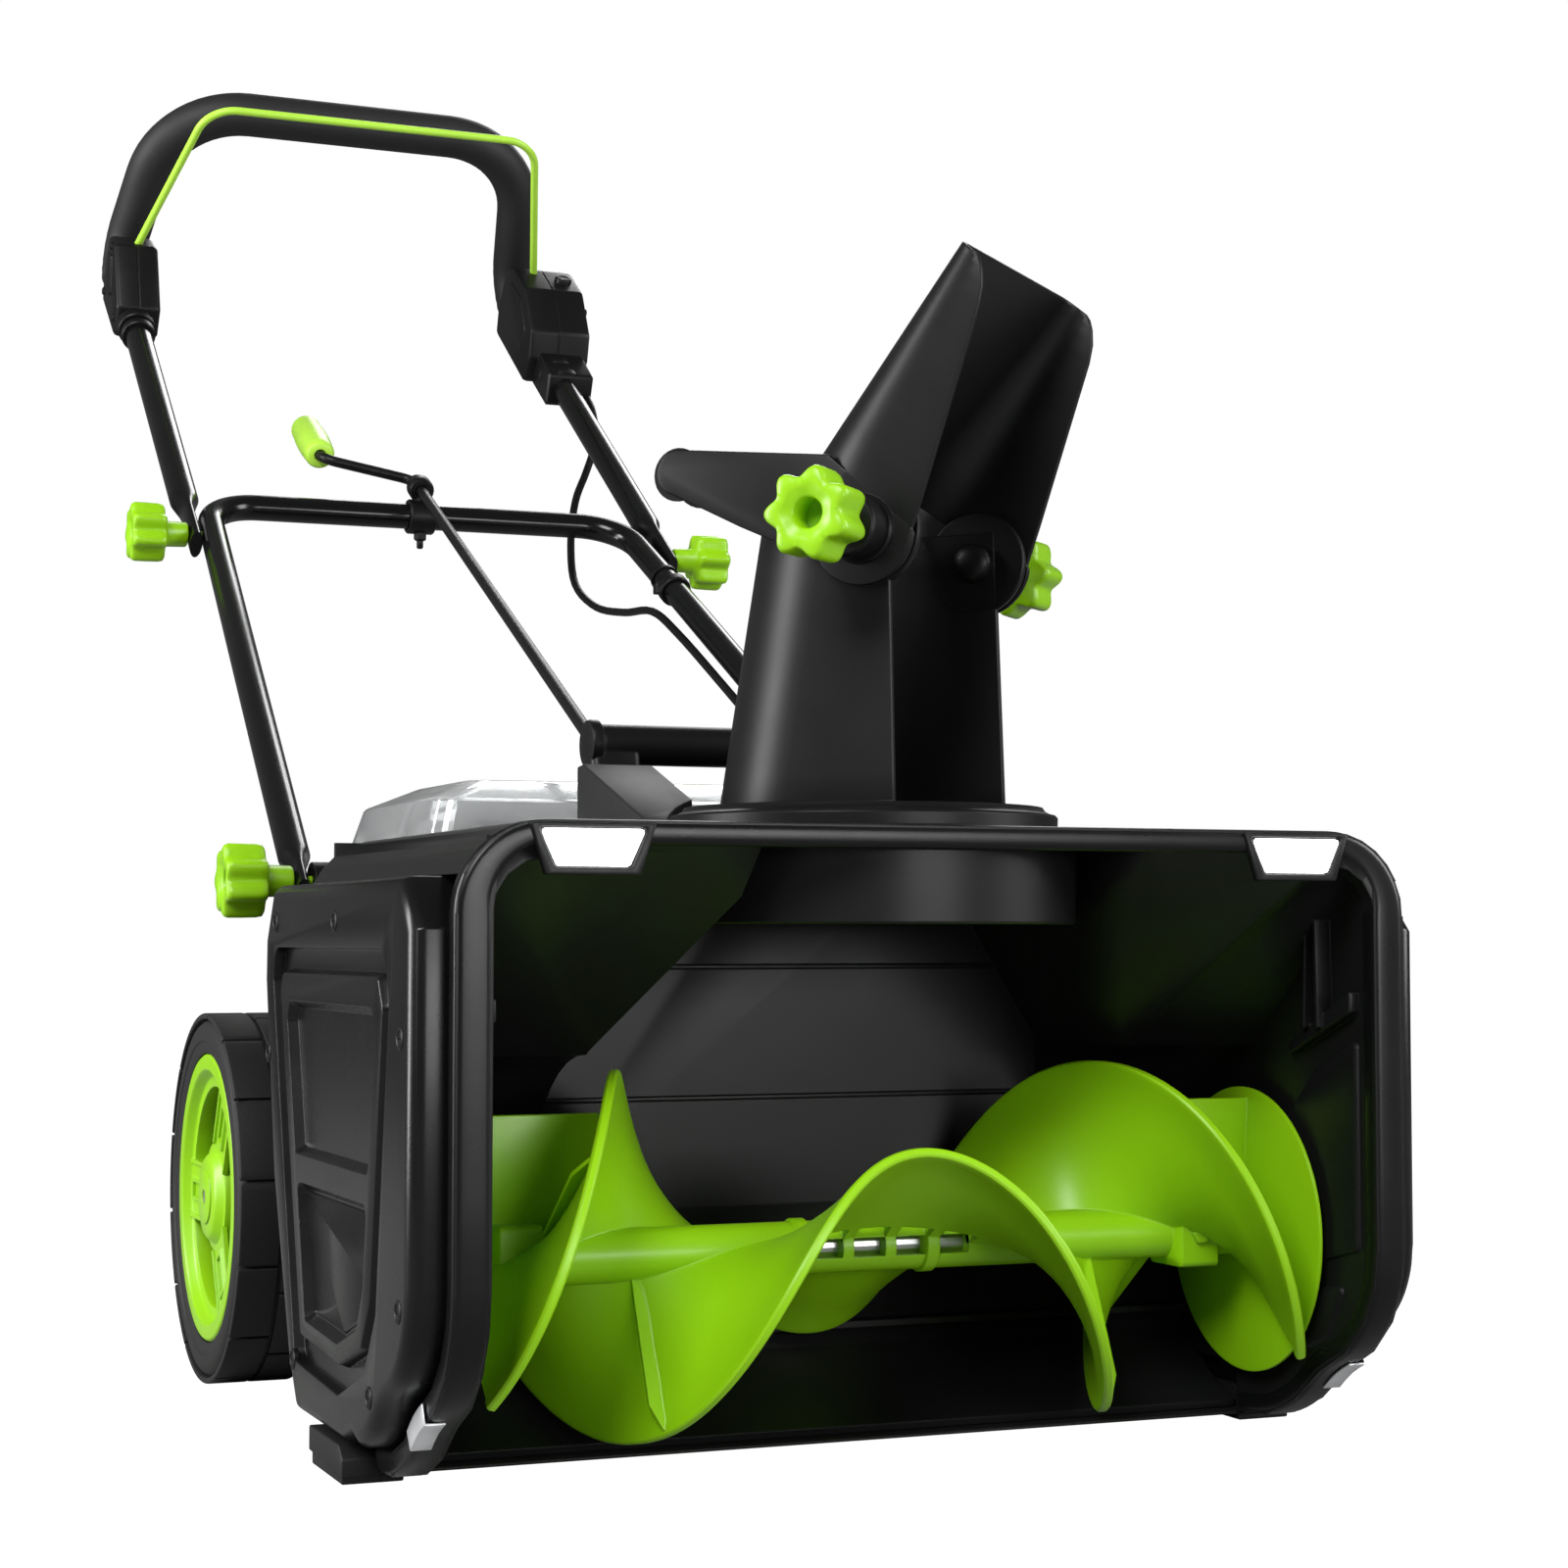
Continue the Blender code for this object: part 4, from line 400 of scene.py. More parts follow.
def clear_plastic(name):
    material = bpy.data.materials.new(name)
    material.use_nodes = True
    tree = material.node_tree
    shader = tree.nodes["Principled BSDF"]
    shader.inputs["Base Color"].default_value = (0.93, 0.945, 0.95, 1)
    shader.inputs["Transmission Weight"].default_value = 0.9
    shader.inputs["IOR"].default_value = 1.46
    place = tree.nodes.new("ShaderNodeTexCoord")
    fine = tree.nodes.new("ShaderNodeTexNoise")
    fine.inputs["Scale"].default_value = 120
    gloss = tree.nodes.new("ShaderNodeMapRange")
    gloss.inputs["To Min"].default_value = 0.02
    gloss.inputs["To Max"].default_value = 0.10
    link(
        tree,
        ((place, "Object"), (fine, "Vector")),
        ((fine, "Fac"), (gloss, "Value")),
        ((gloss, "Result"), (shader, "Roughness")),
    )
    return material


def glowing(name, strength):
    material = bpy.data.materials.new(name)
    material.use_nodes = True
    tree = material.node_tree
    shader = tree.nodes["Principled BSDF"]
    shader.inputs["Base Color"].default_value = (0.95, 0.97, 1, 1)
    shader.inputs["Roughness"].default_value = 0.15
    shader.inputs["Emission Color"].default_value = (1, 1, 1, 1)
    place = tree.nodes.new("ShaderNodeTexCoord")
    wave = tree.nodes.new("ShaderNodeTexWave")
    wave.inputs["Scale"].default_value = 60
    level = tree.nodes.new("ShaderNodeMapRange")
    level.inputs["To Min"].default_value = strength * 0.8
    level.inputs["To Max"].default_value = strength
    link(
        tree,
        ((place, "Object"), (wave, "Vector")),
        ((wave, "Fac"), (level, "Value")),
        ((level, "Result"), (shader, "Emission Strength")),
    )
    return material


FINISHES = {}


def finish(name):
    """The named finish, made once."""
    if name not in FINISHES:
        FINISHES[name] = MAKERS[name]()
    return FINISHES[name]


MAKERS = {
    "gloss": lambda: moulding(
        "Gloss black moulding", shade("gloss"), 0.28, 0.015, 300, specular=0.24, edge=0.0009
    ),
    "shell": lambda: moulding(
        "Black housing moulding", (0.006, 0.006, 0.0065), 0.36, 0.03, 700, specular=0.2, edge=0.0009
    ),
    "cover": lambda: moulding("Cover moulding", shade("satin"), 0.26, 0.04, 1500, specular=0.26),
    "satin": lambda: moulding("Satin black moulding", shade("satin"), 0.40, 0.06, 1500, specular=0.2),
    "grained": lambda: moulding("Grained black moulding", shade("satin"), 0.55, 0.4, 1100, specular=0.3),
    "paint": lambda: moulding("Black powder coat", shade("gloss"), 0.18, 0.01, 200, specular=0.3, edge=0),
    "foam": lambda: moulding("Foam grip", (0.010, 0.010, 0.0105), 0.58, 0.3, 1700, specular=0.35, edge=0),
    "lime": lambda: moulding(
        "Lime moulding", shade("lime"), 0.34, 0.03, 900, specular=0.35, mottle=0.03, edge=0.001
    ),
    "pale": lambda: moulding(
        "Pale lime moulding", shade("pale"), 0.36, 0.03, 900, specular=0.35, mottle=0.03
    ),
    "tyre": lambda: moulding("Tyre rubber", (0.007, 0.007, 0.007), 0.6, 0.25, 600, specular=0.3),
    "steel": lambda: moulding("Bright steel", (0.56, 0.56, 0.57), 0.28, 0.1, 800, metal=1.0),
    "zinc": lambda: moulding("Silver clip", (0.72, 0.73, 0.75), 0.34, 0.1, 700, metal=0.7),
    "belt": lambda: moulding("Belt rubber", (0.02, 0.02, 0.02), 0.8, 0.3, 900, edge=0),
    "board": lambda: moulding("Circuit board", (0.02, 0.12, 0.05), 0.5, 0.3, 500, edge=0),
    "pack": lambda: moulding("Battery case", (0.03, 0.031, 0.033), 0.5, 0.2, 1200),
    "clear": lambda: clear_plastic("Clear lid"),
    "lamp": lambda: glowing("Lit lamp lens", 6.0),
}


def sizes():
    """The sizes that a user may change."""
    return bpy.context.scene.blower_sizes


def shade(which):
    """A colour that a user may change."""
    settings = bpy.context.scene.blower_finish
    return tuple(getattr(settings, which))


# ---------------------------------------------------------------- housing


def mouth_edge():
    """The mouth's side edge from the shoulder down and back to the scraper, as (y, z)."""
    low = [(0.003, 0.082), (0.012, 0.064), (0.028, 0.048), (0.051, 0.036), (0.074, 0.019), (0.098, 0.009)]
    curve = smooth([(MOUTH_Y, 0.10, 0), *[(MOUTH_Y + y, z, 0) for y, z in low], (-0.004, 0.0062, 0)], 4)
    return [(p.x, p.y) for p in curve]


def rim():
    """The thick rounded band round the mouth."""
    half = 0.0086
    x = RIM_HALF + 0.0004 - half
    legs = [(y, z) for y, z in mouth_edge()[::-1]] + [(MOUTH_Y, z) for z in (0.14, 0.19, 0.24)]
    rows = []
    for i, (y, z) in enumerate(legs):
        a, b = legs[max(0, i - 1)], legs[min(len(legs) - 1, i + 1)]
        run = Vector((0, b[0] - a[0], b[1] - a[1])).normalized()
        deep = run.cross(X)
        deep = deep if deep.y > 0 else -deep
        rows.append((Vector((x, y, z)) + deep * 0.0055, X, deep, half, 0.0062))
    flat, low = RIM_HALF - SHOULDER_R, ROOF_Z - SHOULDER_R
    for k in range(13):
        a = math.radians(90 * k / 12)
        out = Vector((math.cos(a), 0, math.sin(a)))
        wide = half + (0.0055 - half) * k / 12
        centre = Vector((flat, MOUTH_Y + 0.0055, low)) + out * (SHOULDER_R + 0.0004 - wide)
        rows.append((centre, out, Y, wide, 0.0062))
    rows += [(Vector((-p.x, p.y, p.z)), Vector((-w.x, w.y, w.z)), d, a, b) for p, w, d, a, b in rows[::-1]]
    rings = []
    for centre, wide, deep, a, b in rows:
        shape = rounded([(-a, -b), (a, -b), (a, b), (-a, b)], 0.0036, 4)
        rings.append([centre + wide * s + deep * t for s, t in shape])
    return loft("rim", rings)


def wall_dressing(side):
    """What stands on a side wall's inner face: two shallow pads and a pair of slanting ribs."""
    pads = (
        [
            (-0.1165, 0.200), (-0.1165, 0.098), (-0.066, 0.086), (-0.052, 0.108), (-0.052, 0.158),
            (-0.080, 0.184)
        ],
        [(-0.1060, 0.082), (-0.064, 0.074), (-0.050, 0.056), (-0.070, 0.046), (-0.088, 0.054)],
    )
    found = []
    for pad in pads:
        rings = []
        for x, by in ((0.2180, 0), (0.2163, 0.0004), (0.2155, 0.0020)):
            rings.append([(side * x, y, z) for y, z in inset(rounded(pad, 0.004), by)])
        found.append(loft("pad", rings))
    for lean, y in ((0.0, -0.094), (0.004, -0.082)):
        rib = [(y, 0.204), (y + 0.0030, 0.204), (y + 0.0050 - lean, 0.262), (y + 0.0020 - lean, 0.262)]
        found.append(soften(prism("rib", rib, "x", *sorted((side * 0.2085, side * 0.2180))), 0.0008))
    shelf = [(-0.1165, 0.222), (-0.062, 0.196), (-0.062, 0.190), (-0.1165, 0.212)]
    found.append(soften(prism("shelf", shelf, "x", *sorted((side * 0.2120, side * 0.2180))), 0.001))
    return found


def housing():
    shell = copy_of("auger_housing", "housing shell")
    placed(rim(), "root", finish("gloss")).name = "mouth_rim"
    trim = []
    for side in (-1, 1):
        trim += wall_dressing(side)
    for side in (-1, 1):
        # a raised frame round each lamp
        outline = [(-0.0215, 0.2745), (0.0215, 0.2745), (0.0285, 0.2968), (-0.0285, 0.2968)]
        inner = [(-0.0170, 0.2777), (0.0170, 0.2777), (0.0245, 0.2948), (-0.0245, 0.2948)]
        shift = side * LAMP_X
        rings = []
        for shape, y in (
            (outline, MOUTH_Y + 0.002), (outline, MOUTH_Y - 0.0022), (inner, MOUTH_Y - 0.0022),
            (inner, MOUTH_Y + 0.002)
        ):
            rings.append([(x + shift, y, z) for x, z in shape])
        trim.append(soften(loft("lamp frame", rings, closed=True), 0.0008))
    crease = []
    for z in (0.232, 0.166):
        crease.append(
            soften(
                block(
                    "back crease", (-0.134, 0.0712 - (0.002 if z < 0.2 else 0), z), (0.134, 0.074, z + 0.0022)
                ),
                0.0006
            )
        )
    collar = [(0.2540, 0.1008), (0.2550, 0.1022), (0.2930, 0.1034), (0.2930, 0.1015), (0.2540, 0.0985)]
    trim.append(turned("collar band", Z, CHUTE, collar, 96, closed=True))
    seam = turned(
        "turntable seat", Z, CHUTE, [(0.2975, 0.1035), (0.2992, 0.1030), (0.2992, 0.0970), (0.2975, 0.0965)],
        96, closed=True
    )
    whole = gathered("auger_housing_shell", shell, *trim, *crease, seam)
    placed(whole, "root", finish("shell"), ["auger_housing"])


def cover_outline():
    front = MOUTH_Y + 0.0125
    low = [(y, z) for y, z in mouth_edge() if y < -0.026]
    rim_line = [(MOUTH_Y, 0.2745), *low]
    moved = []
    for i, (y, z) in enumerate(rim_line):
        a, b = rim_line[max(0, i - 1)], rim_line[min(len(rim_line) - 1, i + 1)]
        run = Vector((b[0] - a[0], b[1] - a[1])).normalized()
        moved.append((y - run.y * 0.0125, z + run.x * 0.0125))
    corners = [
        (-0.018, 0.0240), (0.000, 0.0190), (0.094, 0.0190), (0.112, 0.042),
        (0.150, 0.128), (0.173, 0.226), (0.172, 0.248), (0.155, 0.2745), (
            front + 0.022, 0.2745
        ), (front, 0.252),
    ]
    return [*moved[1:], *corners]


def cover(side, word):
    """A side cover with its stepped trapezoid panel."""
    outline = cover_outline()

    def ring(x, by):
        return [(side * x, y, z) for y, z in inset(outline, by)]

    profile = [(0.2222, 0.0003), (0.2425, 0.0003)]
    for k in range(1, 7):
        a = math.radians(90 * k / 6)
        profile.append((0.2425 + 0.0075 * math.sin(a), 0.0003 + 0.0075 * (1 - math.cos(a))))
    rings = [ring(x, by) for x, by in profile]
    shell = loft("cover", rings)
    # stepped panel: an outer recess, a raised frame and two glossy fields
    recess = [
        (-0.070, 0.243), (0.146, 0.243), (0.151, 0.228), (0.120, 0.122), (0.096, 0.044), (0.006, 0.040),
        (-0.042, 0.056), (-0.062, 0.084), (-0.082, 0.224)
    ]
    recess = rounded(recess, 0.009)
    deep = prism("recess", recess, "x", *sorted((side * 0.2438, side * 0.26)))
    cut(shell, deep)
    frame_line = rounded(
        [
            (-0.060, 0.233), (0.134, 0.233), (0.139, 0.221), (0.109, 0.122), (0.088, 0.055), (0.008, 0.051),
            (-0.035, 0.064), (-0.051, 0.087), (-0.070, 0.218)
        ],
        0.007
    )
    upper = rounded(
        [(-0.049, 0.217), (0.116, 0.217), (0.121, 0.208), (0.101, 0.143), (-0.044, 0.143), (-0.056, 0.206)],
        0.006
    )
    lower = rounded(
        [(-0.042, 0.130), (0.097, 0.130), (0.078, 0.065), (0.012, 0.062), (-0.025, 0.073), (-0.036, 0.092)],
        0.006
    )

    def raised(outline, base, top, slope):
        rows = []
        for x, by in ((base, 0), (top - 0.0004, slope * 0.8), (top, slope)):
            rows.append([(side * x, y, z) for y, z in inset(outline, by)])
        return loft("raised", rows)

    plate = raised(frame_line, 0.2425, 0.2492, 0.003)
    for field in (upper, lower):
        rows = []
        for x, by in ((0.2525, -0.0010), (0.2492, 0.0), (0.2444, 0.0035)):
            rows.append([(side * x, y, z) for y, z in inset(field, by)])
        cut(plate, loft("field", rows))
        cushion = []
        for x, by in ((0.2430, 0.0040), (0.2450, 0.0050), (0.2455, 0.0062)):
            cushion.append([(side * x, y, z) for y, z in inset(field, by)])
        plate = gathered("plate", plate, loft("cushion", cushion))
    whole = gathered("side_cover_panel_" + word, soften(shell, 0.0007, 2, 40), plate)
    placed(whole, "root", finish("cover"), ["side_cover_" + word])


SCREW_SPOTS = (
    (-0.101, 0.205), (-0.101, 0.090), (-0.052, 0.047), (0.020, 0.2555), (0.146, 0.2555), (0.160, 0.190),
    (0.098, 0.044)
)


def scraper():
    bar = [
        (0.0, 0.0035), (0.0655, 0.0072), (0.0655, 0.0296), (0.012, 0.0296), (0.0032, 0.0152), (0.0, 0.0085)
    ]
    body = prism("bar", bar, "x", -0.2212, 0.2212)
    seat = turned("seat", X, AUGER - X, [(0, 0.0975), (2, 0.0975)], 128)
    cut(body, seat)
    pads = []
    for side in (-1, 1):
        sole = [(0.0006, 0.0002), (0.060, 0.0002), (0.060, 0.012), (0.0006, 0.0062)]
        pads.append(prism("pad", sole, "x", *sorted((side * 0.220, side * 0.2490))))
        cheek = [(-0.002, 0.0035), (0.064, 0.0060), (0.064, 0.0178), (0.006, 0.0178), (-0.002, 0.0120)]
        pads.append(prism("cheek", cheek, "x", *sorted((side * 0.2205, side * 0.2497))))
    whole = gathered("scraper_blade", body, *pads)
    placed(soften(whole, 0.0009), "root", finish("grained"), ["scraper_bar"])


def corner_clips():
    def clip(side, word):
        line = mouth_edge()
        outer = []
        for before, here, after in zip(line, line[1:], line[2:]):
            if not -0.094 < here[0] < -0.066:
                continue
            run = (Vector(after) - Vector(before)).normalized()
            normal = Vector((run.y, -run.x))
            normal = normal if normal.x < 0 else -normal
            row = []
            for x, out in (
                (0.2262, 0.0009), (0.2350, 0.0009), (0.2350, -0.008), (0.2358, -0.008), (0.2358, 0.0020),
                (0.2262, 0.0020)
            ):
                p = Vector(here) + normal * out
                row.append((side * x, p.x, p.y))
            outer.append(row)
        strip = loft("corner_clip_bright_" + word, outer)
        placed(soften(strip, 0.0003, 2), "root", finish("zinc"), ["corner_clip_" + word])

    both(clip)


def lamps():
    def lens(side, word):
        shift = side * LAMP_X
        rings = []
        shape = rounded([(-0.0162, 0.2782), (0.0162, 0.2782), (0.0236, 0.2943), (-0.0236, 0.2943)], 0.0015, 3)
        for y, by in ((MOUTH_Y - 0.0004, 0), (MOUTH_Y - 0.0030, 0.0004), (MOUTH_Y - 0.0044, 0.0022)):
            rings.append([(x + shift, y, z) for x, z in inset(shape, by)])
        glass = loft("lamp_lens_lit_" + word, rings)
        placed(glass, "root", finish("lamp"), ["lamp_lens_" + word])

    both(lens)


# ---------------------------------------------------------------- auger


def spoke(start, x):
    """The outward direction of a blade at a distance from the machine's middle."""
    x = abs(x)
    reach = x * x / 0.2128 - 0.0068 if x < 0.1064 else x - 0.060
    angle = math.radians(66.5) + math.pi * start + reach * 2 * math.pi / PITCH
    return Vector((0, -math.sin(angle), math.cos(angle)))


def blade(start):
    """One blade from end to end: it arches over the middle, winds both ways and ends flat."""
    profile = [
        (0.009, 0.0030), (0.030, 0.0021), (0.060, 0.0016), (0.0795, 0.0015), (0.0822, 0.0024),
        (0.0850, 0.0024), (0.0860, 0.0014),
    ]
    rings = []
    for x in np.linspace(-0.204, 0.204, 181):
        x = float(x)
        out = spoke(start, x)
        ahead = spoke(start, x + 0.001) - spoke(start, x - 0.001)
        ring = []
        for sign in (-1, 1):
            for r, half in profile[::sign * -1]:
                face = (X * 0.002 + ahead * r).normalized().cross(out)
                ring.append(AUGER + X * x + out * r + face * half * sign)
        rings.append(ring)
    return loft("blade", rings)


def blade_rib(start, x):
    """A low web across a blade's face from the hub to its edge."""
    out = spoke(start, x)
    thick = out.cross(X) * 0.0011
    rise = X * (0.008 if x > 0 else -0.008)
    rows = []
    for sign in (-1, 1):
        foot, tip = AUGER + X * x + out * 0.010, AUGER + X * x + out * 0.0835
        rows.append(
            [p + thick * sign for p in (foot, tip, tip + rise * 0.35, tip - out * 0.012 + rise, foot + rise)]
        )
    return loft("blade rib", rows)


def auger():
    hub = [
        (-AUGER_HALF, 0.0118), (-AUGER_HALF + 0.0006, 0.0125), (AUGER_HALF - 0.0006, 0.0125),
        (AUGER_HALF, 0.0118)
    ]
    tube_hub = turned("hub tube", X, AUGER, hub, 48)
    ways = []
    for x in (-0.046, -0.024, -0.002, 0.020, 0.042):
        ways.append(
            block(
                "way", AUGER + Vector((x - 0.0082, -0.03, -0.0045)),
                AUGER + Vector((x + 0.0082, 0.03, 0.0045))
            )
        )
    cut(tube_hub, *ways)
    pieces = [tube_hub]
    for start in (0, 1):
        wings = blade(start)
        out = spoke(start, 0)
        across = out.cross(X)
        slots = []
        for x in (-0.046, -0.024, -0.002, 0.020, 0.042):
            rows = []
            for at in (-0.012, 0.012):
                corners = ((x - 0.0082, 0.007), (x + 0.0082, 0.007), (x + 0.0082, 0.021), (x - 0.0082, 0.021))
                rows.append([AUGER + X * dx + out * r + across * at for dx, r in corners])
            slots.append(loft("slot", rows))
        pieces.append(cut(wings, *slots))
        for x in (-0.112, 0.112, -0.158, 0.158):
            pieces.append(blade_rib(start, x))
    for side in (-1, 1):
        disc = [
            (0.2098, 0.0090), (0.2098, 0.0700), (0.2104, 0.0715), (0.2118, 0.0715), (0.2124, 0.0700),
            (0.2124, 0.0090)
        ]
        pieces.append(turned("end disc", X, AUGER, [(side * at, r) for at, r in disc], 96))
        rings = []
        for x, size in ((0.163, 0.0125), (0.166, 0.0165), (0.186, 0.0165), (0.189, 0.0125)):
            shape = rounded([(-size, -size), (size, -size), (size, size), (-size, size)], 0.003, 4)
            rings.append([AUGER + Vector((side * x, y, z)) for y, z in shape])
        pieces.append(loft("hub block", rings))
        out = Matrix.Rotation(math.radians(4), 3, "X") @ Z
        thick = out.cross(X) * 0.0015
        corners = ((0.139, 0.008), (0.2105, 0.008), (0.2105, 0.0665), (0.136, 0.0665))
        rows = [[AUGER + X * side * x + out * r + thick * sign for x, r in corners] for sign in (-1, 1)]
        pieces.append(soften(loft("end web", rows), 0.0006, 2))
        bolt = AUGER + Vector((side * 0.176, -0.0160, 0))
        pieces.append(turned("hub bolt", -Y, bolt, [(0, 0.005), (0.0025, 0.005), (0.0032, 0.0042)], 6))
    for x in (-0.0350, 0.0310):
        pieces.append(
            turned(
                "hub band", X, AUGER + X * x,
                [(-0.004, 0.0122), (-0.003, 0.0140), (0.003, 0.0140), (0.004, 0.0122)], 48
            )
        )
    placed(gathered("auger_blades", *pieces), "auger", finish("lime"), ["auger"], sharp=44)


# ---------------------------------------------------------------- chute


def chute_at(q, p, z):
    return CHUTE + THROW * q + ACROSS * p + Z * z


def channel_line(share, grow=0.0):
    """The U of the chute's wall at a share of its height, as (q, p)."""
    half = 0.070 - 0.003 * share + grow
    back = -0.069 + 0.0244 * share - grow
    front = 0.047 - 0.004 * share
    depth = half * 0.86
    curve = [
        (back + depth - depth * math.sin(a), half * math.cos(a)) for a in np.linspace(0, math.pi / 2, 19)
    ]
    side = [(front, half)] + curve
    return side + [(q, -p) for q, p in side[-2::-1]]


def discharge_chute():
    flange = [
        (0.2986, 0.0700), (0.2986, 0.0925), (0.2994, 0.0938), (0.3050, 0.0940), (0.3062, 0.0930),
        (0.3068, 0.0905), (0.3082, 0.0880), (0.3100, 0.0868), (0.3102, 0.0660), (0.3060, 0.0655),
    ]
    ring = turned("turntable", Z, CHUTE, flange, 128, closed=True)
    neck = turned(
        "neck", Z, CHUTE, [(0.267, 0.0760), (0.267, 0.0795), (0.300, 0.0795), (0.300, 0.0760)], 96,
        closed=True
    )
    rings = []
    for share in np.linspace(0, 1, 9):
        z = 0.3050 + (0.4500 - 0.3050) * share
        outer, inner = channel_line(share), channel_line(share, -0.004)
        rings.append([chute_at(q, p, z) for q, p in outer + inner[::-1]])
    wall = soften(loft("chute wall", rings), 0.0009, 2, 50)
    ears = []
    for side in (-1, 1):
        start = chute_at(HINGE_Q, side * 0.0637, HINGE_Z)
        end = chute_at(HINGE_Q, side * 0.0677, HINGE_Z)
        ears.append(rod("ear", start, end, 0.026, 64, 0.0008))
        word = "left" if side < 0 else "right"
        seat = chute_at(HINGE_Q, side * 0.0640, HINGE_Z)
        dome = [(0, 0.0100), (0.0052, 0.0096), (0.0074, 0.0080), (0.0086, 0.0050), (0.0090, 0.0015)]
        placed(
            turned("bolt_dome_" + word, ACROSS * -side, seat, dome, 40), "chute", finish("satin"),
            ["chute_nut_" + word]
        )
    whole = gathered("chute_channel", ring, neck, wall, *ears)
    placed(whole, "chute", finish("satin"), ["chute"])
    gear = []
    for k in range(36):
        for at, radius in ((0.0, 0.0798), (0.25, 0.0798), (0.4, 0.0848), (0.85, 0.0848)):
            a = 2 * math.pi * (k + at) / 36
            gear.append((radius * math.cos(a), CHUTE.y + radius * math.sin(a)))
    teeth = prism("chute_ring_gear", gear, "z", 0.271, 0.285)
    bore = turned("gear bore", Z, CHUTE, [(0.26, 0.0772), (0.30, 0.0772)], 96)
    placed(cut(teeth, bore), "chute", finish("satin"))


def deflector():
    """The tilting hood with its two arms and the grip bar behind."""
    inner, outer = 0.0705, 0.0740
    base, run = Vector((-0.0025, 0.471)), Vector((0.0825, 0.095))
    along = run.normalized()
    deep = Vector((along.y, -along.x))
    front = [
        (0.0, 0.0745), (0.030, 0.0625), (0.060, 0.0500), (0.090, 0.0375), (0.108, 0.0300), (0.116, 0.0255),
        (0.1215, 0.0205)
    ]
    front += [(0.1245, 0.0165), (0.1257, 0.0130)]
    arms = []
    outline = arc(HINGE_Q, HINGE_Z, 0.026, -150, -8, 20)
    outline += [tuple(base + along * 0.012 + deep * 0.069), tuple(base + along * 0.012 + deep * 0.014)]
    outline += [*arc(-0.063, 0.468, 0.0108, 80, 255, 14), (-0.030, 0.440)]
    for side in (-1, 1):
        rows = [[chute_at(q, side * p, z) for q, z in outline] for p in (inner + 0.0002, outer - 0.0002)]
        arms.append(soften(loft("arm", rows), 0.0009, 3, 30))
    rings = []
    for s, reach in front:
        corner = min(0.034 - 0.17 * s, reach * 0.92)
        wall = []
        for half, bend in ((outer, corner), (inner, max(0.002, corner - 0.0035))):
            gap = outer - half
            line = [(half, max(reach, corner + 0.0005))]
            for k in range(11):
                a = math.radians(90 * k / 10)
                line.append((half - bend + bend * math.cos(a), gap + bend - bend * math.sin(a)))
            wall.append(line + [(-p, d) for p, d in line[::-1]])
        ring = []
        for p, d in wall[0] + wall[1][::-1]:
            at = base + along * s + deep * d
            ring.append(chute_at(at.x, p, at.y))
        rings.append(ring)
    hood = soften(loft("hood", rings), 0.0008, 2, 50)
    bar_ends = [chute_at(-0.063, side * 0.0726, 0.467) for side in (-1, 1)]
    path = [bar_ends[0].lerp(bar_ends[1], i / 96) for i in range(97)]
    bumps = tube("grip bar", path, lambda t: 0.0112 + 0.0016 * math.cos(2 * math.pi * 6 * t), 28)
    parts = [hood, bumps]
    for side in (-1, 1):
        profile = [
            (0.0715, 0.0162), (0.0752, 0.0162), (0.0765, 0.0150), (0.0915, 0.0148), (0.0930, 0.0135),
            (0.0930, 0.0040), (0.0715, 0.0040)
        ]
        centre = chute_at(HINGE_Q, 0, HINGE_Z)
        parts.append(turned("boss", ACROSS * side, centre, profile, 64, closed=True))
    whole = gathered("deflector_hood", *arms, *parts)
    placed(whole, "deflector", finish("satin"), ["deflector"])


# ---------------------------------------------------------------- knobs


def star(node, body, seat, axis, stud):
    """A star knob with a blind hole in its face."""
    axis = Vector(axis).normalized()
    u, v = square_to(axis)
    sides = 112
    face = 0.040
    lobes = sizes().knob_lobes

    def ring(at, size, lobe):
        points = []
        for k in range(sides):
            a = 2 * math.pi * k / sides
            wave = 0.5 + 0.5 * math.cos(lobes * a)
            radius = size * (1 - 0.78 * lobe * (1 - wave))
            points.append(seat + axis * at + (math.cos(a) * u + math.sin(a) * v) * radius)
        return points

    rows = [
        ring(face - 0.016, 0.0068, 0), ring(face - 0.0030, 0.0070, 0), ring(face - 0.0022, 0.0078, 0),
        ring(
            face - 0.0018, 0.0092, 0.02
        ), ring(face - 0.0004, 0.0118, 0.10), ring(face, 0.0140, 0.16), ring(face, 0.0192, 0.26),
        ring(
            face - 0.0010, 0.0207, 0.28
        ), ring(face - 0.0030, 0.0215, 0.29), ring(face - 0.0100, 0.0215, 0.29),
        ring(
            0.0210, 0.0213, 0.29
        ), ring(0.0176, 0.0206, 0.28), ring(0.0164, 0.0185, 0.24), ring(0.0158, 0.0110, 0),
        ring(0.0140, 0.0092, 0), ring(0.0010, 0.0088, 0), ring(0.0, 0.0080, 0), ring(0.0, 0.0030, 0), ring(-stud, 0.0030, 0),
    ]
    placed(loft(node + "_star", rows), body, finish("lime"), [node], sharp=50)


# ---------------------------------------------------------------- back of the machine


